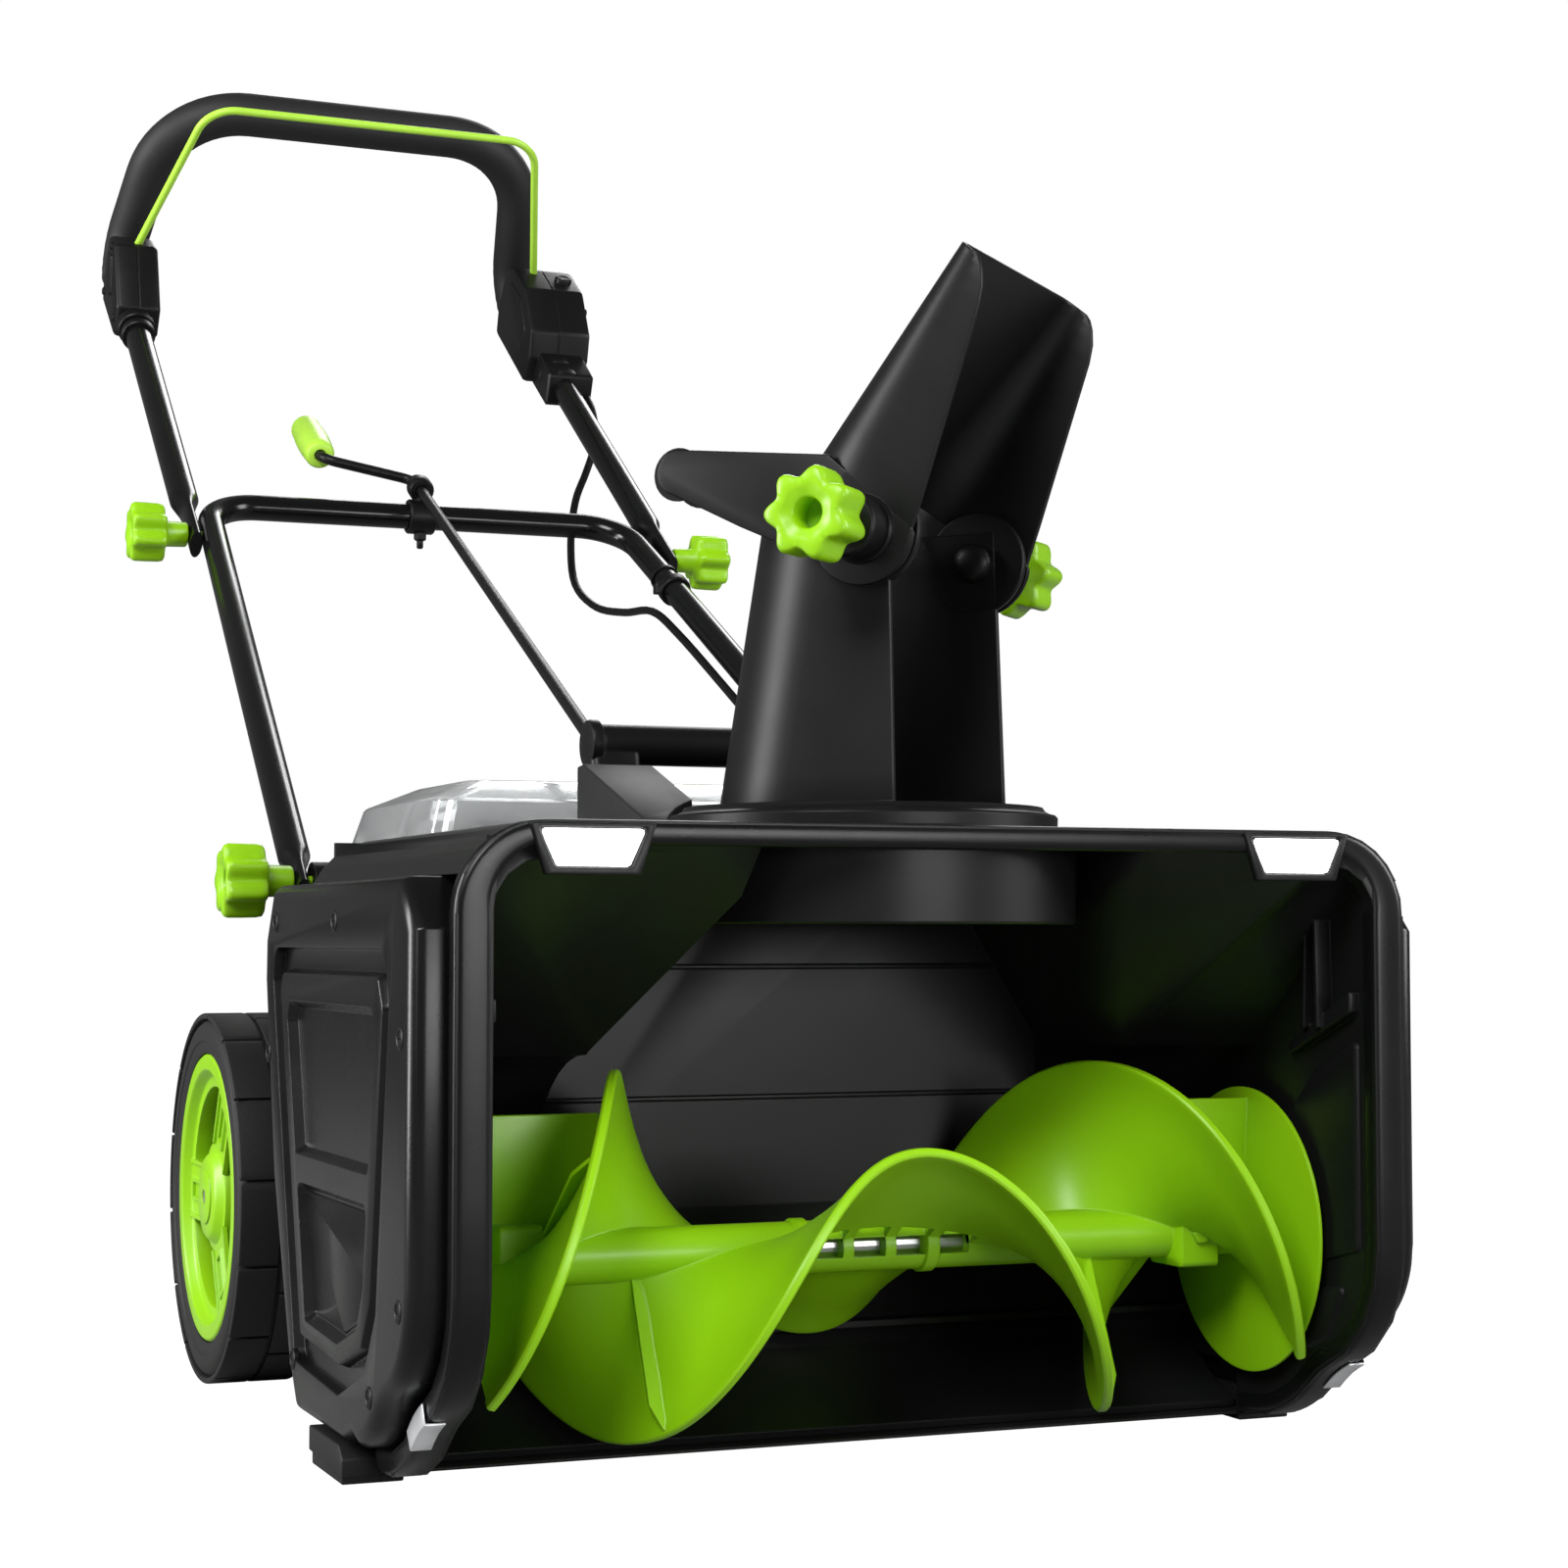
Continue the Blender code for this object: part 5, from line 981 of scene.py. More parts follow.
def tail():
    body = copy_of("rear_housing", "tail shell")
    seams = []
    for k in range(6):
        z = 0.120 + 0.014 * k
        seams.append(soften(block("vent", (-0.075, 0.4235, z), (0.075, 0.4262, z + 0.006)), 0.0012))
    for side in (-1, 1):
        panel = rounded(
            [(0.172, 0.235), (0.300, 0.235), (0.286, 0.150), (0.200, 0.120), (0.172, 0.120)], 0.010
        )
        rows = [
            [(side * x, y, z) for y, z in inset(panel, by)]
            for x, by in ((0.1888, 0), (0.1912, 0.001), (0.1918, 0.003))
        ]
        seams.append(loft("tail panel", rows))
    seams.append(soften(block("tail lip", (-0.176, 0.151, 0.2846), (0.176, 0.1555, 0.2885)), 0.001))
    whole = gathered("tail_housing", body, *seams)
    placed(whole, "root", finish("satin"), ["rear_housing"])


def battery_packs():
    """The two packs that show through the clear lid, with ribs and latch buttons."""

    def pack(side, word):
        centre = side * 0.067
        rows = []
        for z, by in (
            (0.2305, 0.003), (0.2335, 0), (0.2725, 0), (0.2745, 0.004), (0.2950, 0.005), (0.3000, 0.0075),
            (0.3022, 0.012)
        ):
            shape = rounded(
                [
                    (-0.059 + by, 0.222 + by), (0.059 - by, 0.222 + by), (0.059 - by, 0.382 - by),
                    (-0.059 + by, 0.382 - by)
                ],
                0.008
            )
            rows.append([(x + centre, y, z) for x, y in shape])
        body = loft("pack", rows)
        extra = []
        for k in range(7):
            y = 0.250 + k * 0.012
            extra.append(
                soften(
                    block("pack rib", (centre - 0.040, y, 0.3010), (centre + 0.040, y + 0.005, 0.3038)),
                    0.0008
                )
            )
        latch = rounded(
            [
                (centre - 0.018, 0.350), (centre + 0.018, 0.350), (centre + 0.018, 0.368),
                (centre - 0.018, 0.368)
            ],
            0.004
        )
        extra.append(soften(prism("latch", latch, "z", 0.300, 0.3050), 0.001))
        whole = gathered("battery_case_" + word, body, *extra)
        placed(whole, "root", finish("pack"), ["battery_pack_" + word])

    both(pack)


def clear_lid():
    """The clear lid with its flat top, sloping shoulders and hinge ears."""
    def ring(z, by, wall, corner=0.014):
        half = 0.157 - by - wall
        y0, y1 = 0.2045 + by + wall, 0.4015 - by - wall
        shape = rounded([(-half, y0), (half, y0), (half, y1), (-half, y1)], corner, 5)
        return [(x, y, z) for x, y in shape]

    rows = [
        ring(0.3350, 0.036, 0), ring(0.3340, 0.0335, 0), ring(0.3242, 0.0112, 0), ring(0.3225, 0.0095, 0), ring(0.2925, 0.0008, 0),
        ring(0.2895, 0, 0), ring(0.2895, 0, 0.0026), ring(
            0.3215, 0.0095, 0.0026
        ), ring(0.3230, 0.0112, 0.0026),
        ring(0.3318, 0.0335, 0.0026), ring(0.3326, 0.036, 0.0020),
    ]
    lid = loft("lid", rows)
    ears = []
    for side in (-1, 1):
        ear = [(0.1950, 0.2893), (0.214, 0.2905), (0.214, 0.3020), (0.198, 0.2993)]
        plate = prism("ear", ear, "x", *sorted((side * 0.0905, side * 0.1195)))
        ears.append(soften(plate, 0.001))
    for side in (-1, 1):
        ears.append(
            soften(
                block(
                    "lid rib", (side * 0.128 - 0.0012, 0.232, 0.3200), (side * 0.128 + 0.0012, 0.374, 0.3225)
                ),
                0.0005
            )
        )
    whole = gathered("battery_lid_clear", lid, *ears)
    placed(whole, "battery_lid", finish("clear"), ["battery_lid"], sharp=30)


def carry_handle():
    centre = Vector((0, 0.150, 0.350))
    profile = [
        (-0.0850, 0.0100), (-0.0844, 0.0124), (-0.0830, 0.0130), (-0.0790, 0.0130), (-0.0778, 0.0116),
        (-0.0770, 0.0108)
    ]
    profile += [(-at, r) for at, r in profile[::-1]]
    parts = [turned("bar", X, centre, profile, 48)]
    for side in (-1, 1):
        rings = []
        for y0, y1, z in (
            (0.1245, 0.1493, 0.2984), (0.1270, 0.1493, 0.3100), (0.1385, 0.1580, 0.3400),
            (0.1410, 0.1592, 0.3500)
        ):
            half = 0.0137
            mid = side * 0.071
            shape = rounded(
                [(mid - half, y0), (mid + half, y0), (mid + half, y1), (mid - half, y1)], 0.004, 4
            )
            rings.append([(x, y, z) for x, y in shape])
        parts.append(loft("post", rings))
        foot = rounded(
            [
                (side * 0.071 - 0.0180, 0.1215), (side * 0.071 + 0.0180, 0.1215),
                (side * 0.071 + 0.0180, 0.1493), (side * 0.071 - 0.0180, 0.1493)
            ],
            0.005, 4
        )
        parts.append(soften(prism("foot", foot, "z", 0.2984, 0.3015), 0.0008))
    whole = gathered("carry_grip", *parts)
    placed(whole, "root", finish("satin"), ["carry_handle"])
    fairing = copy_of("worm_housing", "worm_fairing")
    placed(soften(fairing, 0.0012, 2, 40), "root", finish("grained"), ["worm_housing"])


# ---------------------------------------------------------------- handles


LEG_FOOT = Vector((0.1964, 0.330, 0.280))
CROSSBAR = Vector((0.161, 0.807, 0.5645))
LEG = (CROSSBAR - LEG_FOOT).normalized()
BOLT = CROSSBAR - LEG * 0.058
UPPER_BOLT = Vector((0.17931, BOLT.y, BOLT.z))
ELBOW = Vector((0.172, 1.148, 0.816))
UPPER_LEG = (ELBOW - UPPER_BOLT).normalized()
GRIP_TOP = Vector((0.150, 1.040, 0.925))
BESIDE = Vector((0, UPPER_LEG.y, UPPER_LEG.z)).normalized()
OUTWARD = Vector((0, -UPPER_LEG.z, UPPER_LEG.y)).normalized()
PIVOT = Vector((0, 1.078, 0.809))


def box_origin(side):
    reach = (PIVOT - Vector((0, UPPER_BOLT.y, UPPER_BOLT.z))).dot(BESIDE) / BESIDE.dot(UPPER_LEG)
    point = UPPER_BOLT + UPPER_LEG * reach
    return Vector((side * point.x, point.y, point.z))


def pressed(obj, tips, reach, share):
    """Flattens a tube's ends across the machine."""
    for vertex in obj.data.vertices:
        for tip, leg in tips:
            along = (vertex.co - tip).dot(leg)
            off = (vertex.co - tip - leg * along).length
            if off < 0.03 and -0.02 < along < reach + 0.02:
                near = min(1, max(0, (reach + 0.015 - along) / 0.015))
                middle = (tip + leg * along).x
                vertex.co.x = middle + (vertex.co.x - middle) * (1 - (1 - share) * near)
    return obj


def with_rings(points):
    """A path with extra points near its ends, so that pressing bends it smoothly."""
    first, second = points[0], points[1]
    run = (second - first).normalized()
    extra = [first + run * at for at in np.linspace(0, 0.09, 16)]
    last = [Vector((-p.x, p.y, p.z)) for p in extra[::-1]]
    return extra + points[1:-1] + last


def lower_tube():
    foot_tip = LEG_FOOT - LEG * 0.014
    corners = mirrored([foot_tip, CROSSBAR])
    path = with_rings(filleted(corners, [0.040, 0.040], 12))
    bar = tube("lower_handle_tube", path, 0.0094, 36)
    left = Vector((-LEG.x, LEG.y, LEG.z))
    pressed(bar, [(foot_tip, LEG), (Vector((-foot_tip.x, foot_tip.y, foot_tip.z)), left)], 0.026, 0.43)
    placed(bar, "root", finish("paint"), ["lower_handle"])


def upper_path():
    tip = UPPER_BOLT - UPPER_LEG * 0.014
    return tip, filleted(mirrored([tip, ELBOW, GRIP_TOP]), [0.034, 0.075, 0.075, 0.034], 12)


def upper_tube():
    tip, path = upper_path()
    bar = tube("upper_handle_tube", with_rings(path), 0.0104, 36)
    left = Vector((-UPPER_LEG.x, UPPER_LEG.y, UPPER_LEG.z))
    pressed(bar, [(tip, UPPER_LEG), (Vector((-tip.x, tip.y, tip.z)), left)], 0.050, 0.43)
    placed(bar, "upper_handle", finish("paint"), ["upper_handle"])


def part_of(path, start, end):
    """The stretch of a path between two distances along it, with a point every 4 mm."""
    run = np.cumsum([0] + [(b - a).length for a, b in zip(path, path[1:])])
    found = []
    for at in np.linspace(start, end, max(2, int((end - start) / 0.004))):
        i = min(len(path) - 2, int(np.searchsorted(run, at, "right")) - 1)
        share = (at - run[i]) / (run[i + 1] - run[i])
        found.append(path[i].lerp(path[i + 1], share))
    return found


def foam():
    """The foam sleeve, creased inside its lower bends and rolled over at its ends."""
    _, path = upper_path()
    total = sum((b - a).length for a, b in zip(path, path[1:]))
    line = part_of(path, FOAM_START, total - FOAM_START)
    run = total - 2 * FOAM_START

    def size(t):
        end = min(t, 1 - t) * run
        radius = sizes().foam_radius - 0.004 * max(0, 1 - end / 0.004) ** 2
        creased = max(0, 1 - abs(end - 0.022) / 0.030)
        return radius - 0.0007 * creased * (0.5 + 0.5 * math.cos(end * 2 * math.pi / 0.0075))

    sleeve = tube("foam_sleeve", line, size, 40)
    placed(sleeve, "upper_handle", finish("foam"), ["foam_grip"], sharp=60)


def on_leg(side, s, m, x):
    origin = box_origin(side)
    return Vector((x, 0, 0)) + Vector((0, origin.y, origin.z)) + BESIDE * s + OUTWARD * m


def leg_shape(side, outline, xs):
    """A boxy moulding along the upper leg: xs lists (x, inset) from one face to the other."""
    rings = []
    for x, by in xs:
        rings.append([on_leg(side, s, m, x) for s, m in inset(outline, by)])
    return loft("leg box", rings)


def clamp_ring(side, s, radius, length, body_r=0.0104):
    along = Vector((side * UPPER_LEG.x, UPPER_LEG.y, UPPER_LEG.z))
    origin = box_origin(side)
    at = origin + along * (s / BESIDE.dot(UPPER_LEG))
    profile = [
        (-length, body_r), (-length, radius - 0.001), (-length + 0.001, radius), (length - 0.001, radius),
        (length, radius - 0.001), (length, body_r)
    ]
    return turned("clamp ring", along, at, profile, 40, closed=True)


def switch_box():
    """The switch box on the right leg with a panel, screws and neck rings."""
    outline = [
        (-0.084, -0.0150), (0.016, -0.0155), (0.023, 0.006), (0.020, 0.046), (0.000, 0.0535),
        (-0.040, 0.0535), (-0.080, 0.032), (-0.088, 0.010)
    ]
    outline = rounded(outline, 0.007, 5)
    xs = [
        (0.1505, 0.0035), (0.1520, 0.0010), (0.1550, 0), (0.1752, 0), (0.1758, 0.0006), (0.1764, 0.0006),
        (0.1770, 0), (0.1995, 0), (0.2025, 0.0010), (0.2038, 0.0035)
    ]
    parts = [leg_shape(1, outline, xs)]
    panel = rounded(
        [(-0.066, 0.004), (0.010, 0.002), (0.010, 0.036), (-0.004, 0.043), (-0.036, 0.043), (-0.064, 0.026)],
        0.005, 4
    )
    for x0, x1, x2 in ((0.2030, 0.2046, 0.2050), (0.1513, 0.1497, 0.1493)):
        parts.append(leg_shape(1, panel, [(x0, 0), (x1, 0.0006), (x2, 0.002)]))
    for s, m in ((0.006, 0.012), (-0.012, 0.046), (-0.052, 0.040), (-0.060, -0.006)):
        centre = on_leg(1, s, m, 0.2040)
        parts.append(turned("box screw", X, centre, [(0, 0.0032), (0.0008, 0.0032), (0.0014, 0.0022)], 24))
    tail_line = rounded([(-0.130, -0.0140), (-0.082, -0.0150), (-0.082, 0.0150), (-0.124, 0.0135)], 0.004, 4)
    parts.append(leg_shape(1, tail_line, [(0.1590, 0.002), (0.1605, 0), (0.1965, 0), (0.1985, 0.002)]))
    parts.append(clamp_ring(1, -0.098, 0.0165, 0.005))
    parts.append(clamp_ring(1, -0.118, 0.0160, 0.004))
    whole = gathered("switch_box_case", *parts)
    placed(whole, "upper_handle", finish("satin"), ["switch_box"])
    seat = on_leg(1, -0.020, 0.0535, 0.190)
    cap = turned(
        "lock_button_cap", OUTWARD, seat,
        [(-0.0070, 0.0073), (0.0024, 0.0073), (0.0036, 0.0066), (0.0040, 0.0050), (0.0036, 0.0030)], 40
    )
    placed(cap, "lock_button", finish("satin"), ["lock_button"])


def pivot_box():
    outline = rounded(
        [
            (-0.058, -0.0140), (0.014, -0.0140), (0.022, 0.004), (0.017, 0.044), (-0.012, 0.0485),
            (-0.033, 0.033), (-0.058, 0.0135)
        ],
        0.005, 5
    )
    xs = [
        (-0.1898, 0.0030), (-0.1885, 0.0010), (-0.1860, 0), (-0.1722, 0), (-0.1717, 0.0006),
        (-0.1711, 0.0006), (-0.1706, 0), (-0.1580, 0), (-0.1555, 0.0010), (-0.1542, 0.0030)
    ]
    parts = [leg_shape(-1, outline, xs)]
    panel = rounded([(-0.026, 0.006), (0.010, 0.006), (0.008, 0.034), (-0.010, 0.038)], 0.004, 4)
    parts.append(leg_shape(-1, panel, [(-0.1895, 0), (-0.1912, 0.0006), (-0.1916, 0.0018)]))
    for s, m in ((0.012, -0.004), (-0.046, -0.002), (-0.002, 0.042)):
        parts.append(
            turned(
                "box screw", -X, on_leg(-1, s, m, -0.1896), [(0, 0.0032), (0.0010, 0.0032), (0.0016, 0.0022)],
                24
            )
        )
    parts.append(clamp_ring(-1, -0.066, 0.0150, 0.006))
    parts.append(clamp_ring(-1, -0.080, 0.0135, 0.004))
    placed(gathered("pivot_box_case", *parts), "upper_handle", finish("satin"), ["pivot_box"])


def bail():
    """The green bail, a round bar bent to follow the grip."""
    end = PIVOT + X * 0.1835
    elbow = PIVOT + X * 0.172
    corner = Vector((0.134, 0.953, 0.902))
    path = filleted(mirrored([end, elbow, corner]), [0.005, 0.030, 0.030, 0.005], 12)
    placed(tube("bail_bar", path, sizes().bail_radius, 24), "bail", finish("pale"), ["bail"], sharp=60)


CABLE_ROUTE = [
    (0.194, 0.9951, 0.7011), (0.194, 0.9830, 0.6905), (0.192, 0.969, 0.674), (0.184, 0.948, 0.650),
    (0.170, 0.925, 0.626), (0.153, 0.900, 0.598), (0.139, 0.868, 0.560), (0.132, 0.835, 0.523),
    (0.136, 0.795, 0.501), (0.145, 0.755, 0.493), (0.1530, 0.715, 0.490), (0.1570, 0.670, 0.469),
    (0.1615, 0.600, 0.430), (0.1655, 0.530, 0.390), (0.1660, 0.470, 0.356), (0.1645, 0.436, 0.336),
    (0.1625, 0.4125, 0.319), (0.1620, 0.4070, 0.3008),
]


def cable():
    """The cable from the switch box to the rear housing, with its clip and gland."""
    path = smooth(CABLE_ROUTE, 5)
    wire = placed(
        tube("handle_cable_line", path, 0.003, 16), None, finish("satin"), ["handle_cable"], sharp=60
    )
    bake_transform(wire)
    at = BOLT - LEG * 0.056
    band = turned(
        "band", LEG, at,
        [
            (-0.0042, 0.0098), (-0.0042, 0.0112), (-0.0034, 0.0120), (0.0034, 0.0120), (0.0042, 0.0112),
            (0.0042, 0.0098)
        ],
        40, closed=True
    )
    lug = soften(
        block("lug", at - Vector((0.0155, 0.004, 0.004)), at - Vector((0.0095, -0.004, -0.004))), 0.001
    )
    tie = turned(
        "tie", LEG, at + LEG * 0.020,
        [(-0.0015, 0.0097), (-0.0015, 0.0108), (0.0015, 0.0108), (0.0015, 0.0097)], 40, closed=True
    )
    placed(gathered("cable_clip_band", band, lug, tie), "root", finish("satin"), ["cable_clip"])
    profile = [(0.2874, 0.0064), (0.2910, 0.0064)]
    for k in range(4):
        z, r = 0.2916 + 0.0021 * k, 0.0056 - 0.0004 * k
        profile += [(z, r - 0.0006), (z + 0.0004, r), (z + 0.0014, r), (z + 0.0018, r - 0.0006)]
    profile.append((0.2999, 0.0036))
    placed(
        turned("cable_gland_boot", Z, (0.162, 0.407, 0), profile, 32), "root", finish("satin"),
        ["cable_gland"]
    )


# ---------------------------------------------------------------- crank


def crank_line():
    a = RODWAY
    left = (-X + a * a.x).normalized()
    up = (Z - a * a.z).normalized()
    arm = left * math.cos(math.radians(9)) + up * math.sin(math.radians(9))
    bend = EYELET + a * 0.028
    knuckle = bend + arm * 0.072
    return [YOKE + a * 0.002, bend, knuckle, knuckle + a * 0.096]


def crank():
    corners = crank_line()
    bar = tube("rod", filleted(corners, [0.012, 0.012], 12), 0.0039, 28)
    stop_at = EYELET + RODWAY * 0.011
    collar = turned(
        "collar", RODWAY, stop_at, [(0, 0.0062), (0.0006, 0.0075), (0.0054, 0.0075), (0.006, 0.0062)], 32
    )
    placed(gathered("crank_rod", bar, collar), "crank", finish("satin"), ["crank"])
    knuckle = corners[2]
    origin = knuckle + RODWAY * 0.0115
    length = 0.102
    profile = [(0, 0.0045), (0, 0.0088), (0.0010, 0.0098), (0.0070, 0.0113)]
    for k in range(1, 30):
        t = 0.0070 + (length - 0.014) * k / 30
        swell = 0.0113 + 0.0012 * math.sin(math.pi * min(1, (t - 0.007) / (length - 0.014)))
        profile.append((t, swell - 0.0003 * (k % 3 == 0)))
    profile += [
        (length - 0.0060, 0.0116), (length - 0.0025, 0.0105), (length - 0.0006, 0.0080), (length, 0.0045)
    ]
    placed(
        turned("crank_grip_sleeve", RODWAY, origin, profile, 40, closed=True), "crank_grip", finish("pale"),
        ["crank_grip"], sharp=50
    )
    centre = CROSSBAR.copy()
    centre.x = 0
    clamp = turned(
        "clamp", X, centre,
        [
            (-0.010, 0.0098), (-0.010, 0.0122), (-0.009, 0.0130), (0.009, 0.0130), (0.010, 0.0122),
            (0.010, 0.0098)
        ],
        40, closed=True
    )
    eye = turned(
        "eye", RODWAY, EYELET,
        [
            (-0.008, 0.0044), (-0.008, 0.0082), (-0.006, 0.0095), (0.006, 0.0095), (0.008, 0.0082),
            (0.008, 0.0044)
        ],
        40, closed=True
    )
    neck = rod("neck", centre + Z * 0.010, EYELET - Z * 0.006, 0.0062, 28)
    nut = turned("clamp nut", -Z, centre - Z * 0.012, [(0, 0.0048), (0.005, 0.0048), (0.006, 0.0036)], 6)
    wing = turned("clamp bolt", -Z, centre - Z * 0.017, [(0, 0.0025), (0.006, 0.0025), (0.007, 0.0018)], 20)
    placed(
        gathered("crank_eyelet_clamp", clamp, eye, neck, nut, wing), "root", finish("satin"), ["crank_eyelet"]
    )


# ---------------------------------------------------------------- wheels


def wheel(side, word):
    """A treaded tyre and a three-spoke hub."""
    inner, outer = 0.204, 0.250
    r = 0.1028
    profile = [
        (inner, r - 0.010), (inner + 0.0012, r - 0.006), (inner + 0.005, r - 0.0026),
        (inner + 0.010, r - 0.0020)
    ]
    profile += [
        (outer - 0.010, r - 0.0020), (outer - 0.005, r - 0.0026), (outer - 0.0012, r - 0.006),
        (outer, r - 0.010)
    ]
    profile += [
        (outer, 0.0875), (outer - 0.0008, 0.0865), (outer - 0.0008, 0.0835), (outer - 0.002, 0.0803),
        (inner + 0.002, 0.0803), (inner, 0.0835)
    ]
    carcass = turned("carcass", X, AXLE, [(side * x, q) for x, q in profile], 120, closed=True)
    placed(carcass, "wheel_" + word, finish("tyre"), ["tyre_" + word])
    seat = 0.0797
    dish = [
        (inner + 0.004, seat), (outer - 0.0028, seat), (
            outer - 0.0016, seat - 0.0012
        ), (outer - 0.0016, seat - 0.0085),
        (
            outer - 0.0030, seat - 0.0100
        ), (outer - 0.0058, seat - 0.0110), (outer - 0.0070, seat - 0.0125), (outer - 0.0070, 0.0265),
        (outer - 0.0034, 0.0235), (outer - 0.0020, 0.0215), (outer - 0.0020, 0.0063), (inner + 0.001, 0.0063),
        (inner + 0.001, 0.0180), (outer - 0.0170, 0.0240), (
            outer - 0.0170, seat - 0.0120
        ), (inner + 0.004, seat - 0.0080),
    ]
    disc = turned("disc", X, AXLE, [(side * x, q) for x, q in dish], 96, closed=True)
    windows = []
    for k in range(3):
        turn = 120 * k
        inner_arc = arc(AXLE.y, AXLE.z, 0.030, turn + 27, turn + 93, 10)
        outer_arc = arc(AXLE.y, AXLE.z, 0.0615, turn + 105, turn + 15, 20)
        windows.append(
            prism(
                "window", rounded(inner_arc + outer_arc, 0.0008, 2), "x",
                *sorted((side * 0.200, side * 0.260))
            )
        )
    cut(disc, *windows)
    extra = []
    for k in range(3):
        turn = math.radians(120 * k)
        out = Vector((0, math.cos(turn), math.sin(turn)))
        wide = Vector((0, -math.sin(turn), math.cos(turn)))

        def on_spoke(x, low, high, left, right, out=out, wide=wide):
            corners = ((low, left), (high, left), (high, right), (low, right))
            return [AXLE + X * side * x + out * a + wide * b for a, b in corners]

        faces = ((0.2420, 0), (0.2446, 0.0008))
        rows = [on_spoke(x, 0.034 + by, 0.060 - by, by - 0.007, 0.007 - by) for x, by in faces]
        well = [on_spoke(x, 0.037, 0.057, -0.004, 0.004) for x in (0.2400, 0.2466)]
        extra.append(cut(loft("spoke pad", rows), loft("well", well)))
        for b in (-0.0155, 0.0155):
            rows = [on_spoke(x, 0.026, 0.0655, b - 0.0012, b + 0.0012) for x in (0.2415, 0.2444)]
            extra.append(loft("spoke rib", rows))
    cap = turned(
        "cap", X, AXLE,
        [
            (side * x, q)
            for x, q in (
                (0.2475, 0.0040), (0.2475, 0.0150), (0.2488, 0.0150), (0.2494, 0.0135), (0.2494, 0.0040)
            )
        ],
        48, closed=True
    )
    whole = gathered("wheel_hub_spokes_" + word, soften(disc, 0.0008, 2, 45), *extra, cap)
    placed(whole, "wheel_" + word, finish("lime"), ["wheel_hub_" + word])


def repeated(name, piece, points, turns, material):
    """Copies of a small piece set out by Geometry Nodes: one at each point, turned as its rotation says."""
    mesh = bpy.data.meshes.new(name)
    mesh.from_pydata([tuple(p) for p in points], [], [])
    store = mesh.attributes.new("turn", "FLOAT_VECTOR", "POINT")
    store.data.foreach_set("vector", [c for turn in turns for c in turn])
    holder = bpy.data.objects.new(name, mesh)
    bpy.context.scene.collection.objects.link(holder)
    tree = bpy.data.node_groups.new(name + " layout", "GeometryNodeTree")
    inputs = {"Piece": ("Object", piece), "Size": ("Float", 1.0), "Finish": ("Material", material)}
    tree.interface.new_socket("Geometry", in_out="INPUT", socket_type="NodeSocketGeometry")
    for word, (kind, _) in inputs.items():
        tree.interface.new_socket(word, in_out="INPUT", socket_type="NodeSocket" + kind)
    tree.interface.new_socket("Geometry", in_out="OUTPUT", socket_type="NodeSocketGeometry")
    start = tree.nodes.new("NodeGroupInput")
    source = tree.nodes.new("GeometryNodeObjectInfo")
    turn = tree.nodes.new("GeometryNodeInputNamedAttribute")
    turn.data_type = "FLOAT_VECTOR"
    turn.inputs["Name"].default_value = "turn"
    spread = tree.nodes.new("GeometryNodeInstanceOnPoints")
    solid = tree.nodes.new("GeometryNodeRealizeInstances")
    coat = tree.nodes.new("GeometryNodeSetMaterial")
    end = tree.nodes.new("NodeGroupOutput")
    link(
        tree,
        ((start, "Geometry"), (spread, "Points")),
        ((start, "Piece"), (source, "Object")),
        ((source, "Geometry"), (spread, "Instance")),
        ((turn, "Attribute"), (spread, "Rotation")),
        ((start, "Size"), (spread, "Scale")),
        ((spread, "Instances"), (solid, "Geometry")),
        ((solid, "Geometry"), (coat, "Geometry")),
        ((start, "Finish"), (coat, "Material")),
        ((coat, "Geometry"), (end, "Geometry")),
    )
    layout = holder.modifiers.new("Layout", "NODES")
    layout.node_group = tree
    for socket in tree.interface.items_tree:
        if socket.name in inputs:
            layout[socket.identifier] = inputs[socket.name][1]
    evaluated(holder)
    bpy.data.objects.remove(piece)
    holder.data.polygons.foreach_set("material_index", [0] * len(holder.data.polygons))
    return holder

def treads():
    """The tread lugs, laid round each tyre."""

    def set_of(side, word):
        rings = []
        for at in np.radians(np.linspace(-12.3, 12.3, 13)):
            out = Vector((0, math.sin(at), math.cos(at)))
            shape = (
                (-0.0109, 0.0995), (-0.0109, 0.1022), (-0.0102, 0.1027), (0.0102, 0.1027), (0.0109, 0.1022),
                (0.0109, 0.0995)
            )
            rings.append([X * x + out * r for x, r in shape])
        lug = soften(loft("lug", rings), 0.0004, 2)
        points, turns = [], []
        lugs = sizes().tread_lugs
        for k in range(lugs):
            for row in (-1, 1):
                points.append(AXLE + X * (side * 0.227 + row * 0.0118))
                turns.append((-2 * math.pi * (k + (0.35 if row * side > 0 else 0)) / lugs, 0, 0))
        rubber = finish("tyre")
        placed(repeated("tyre_tread_" + word, lug, points, turns, rubber), "wheel_" + word, rubber)

    both(set_of)


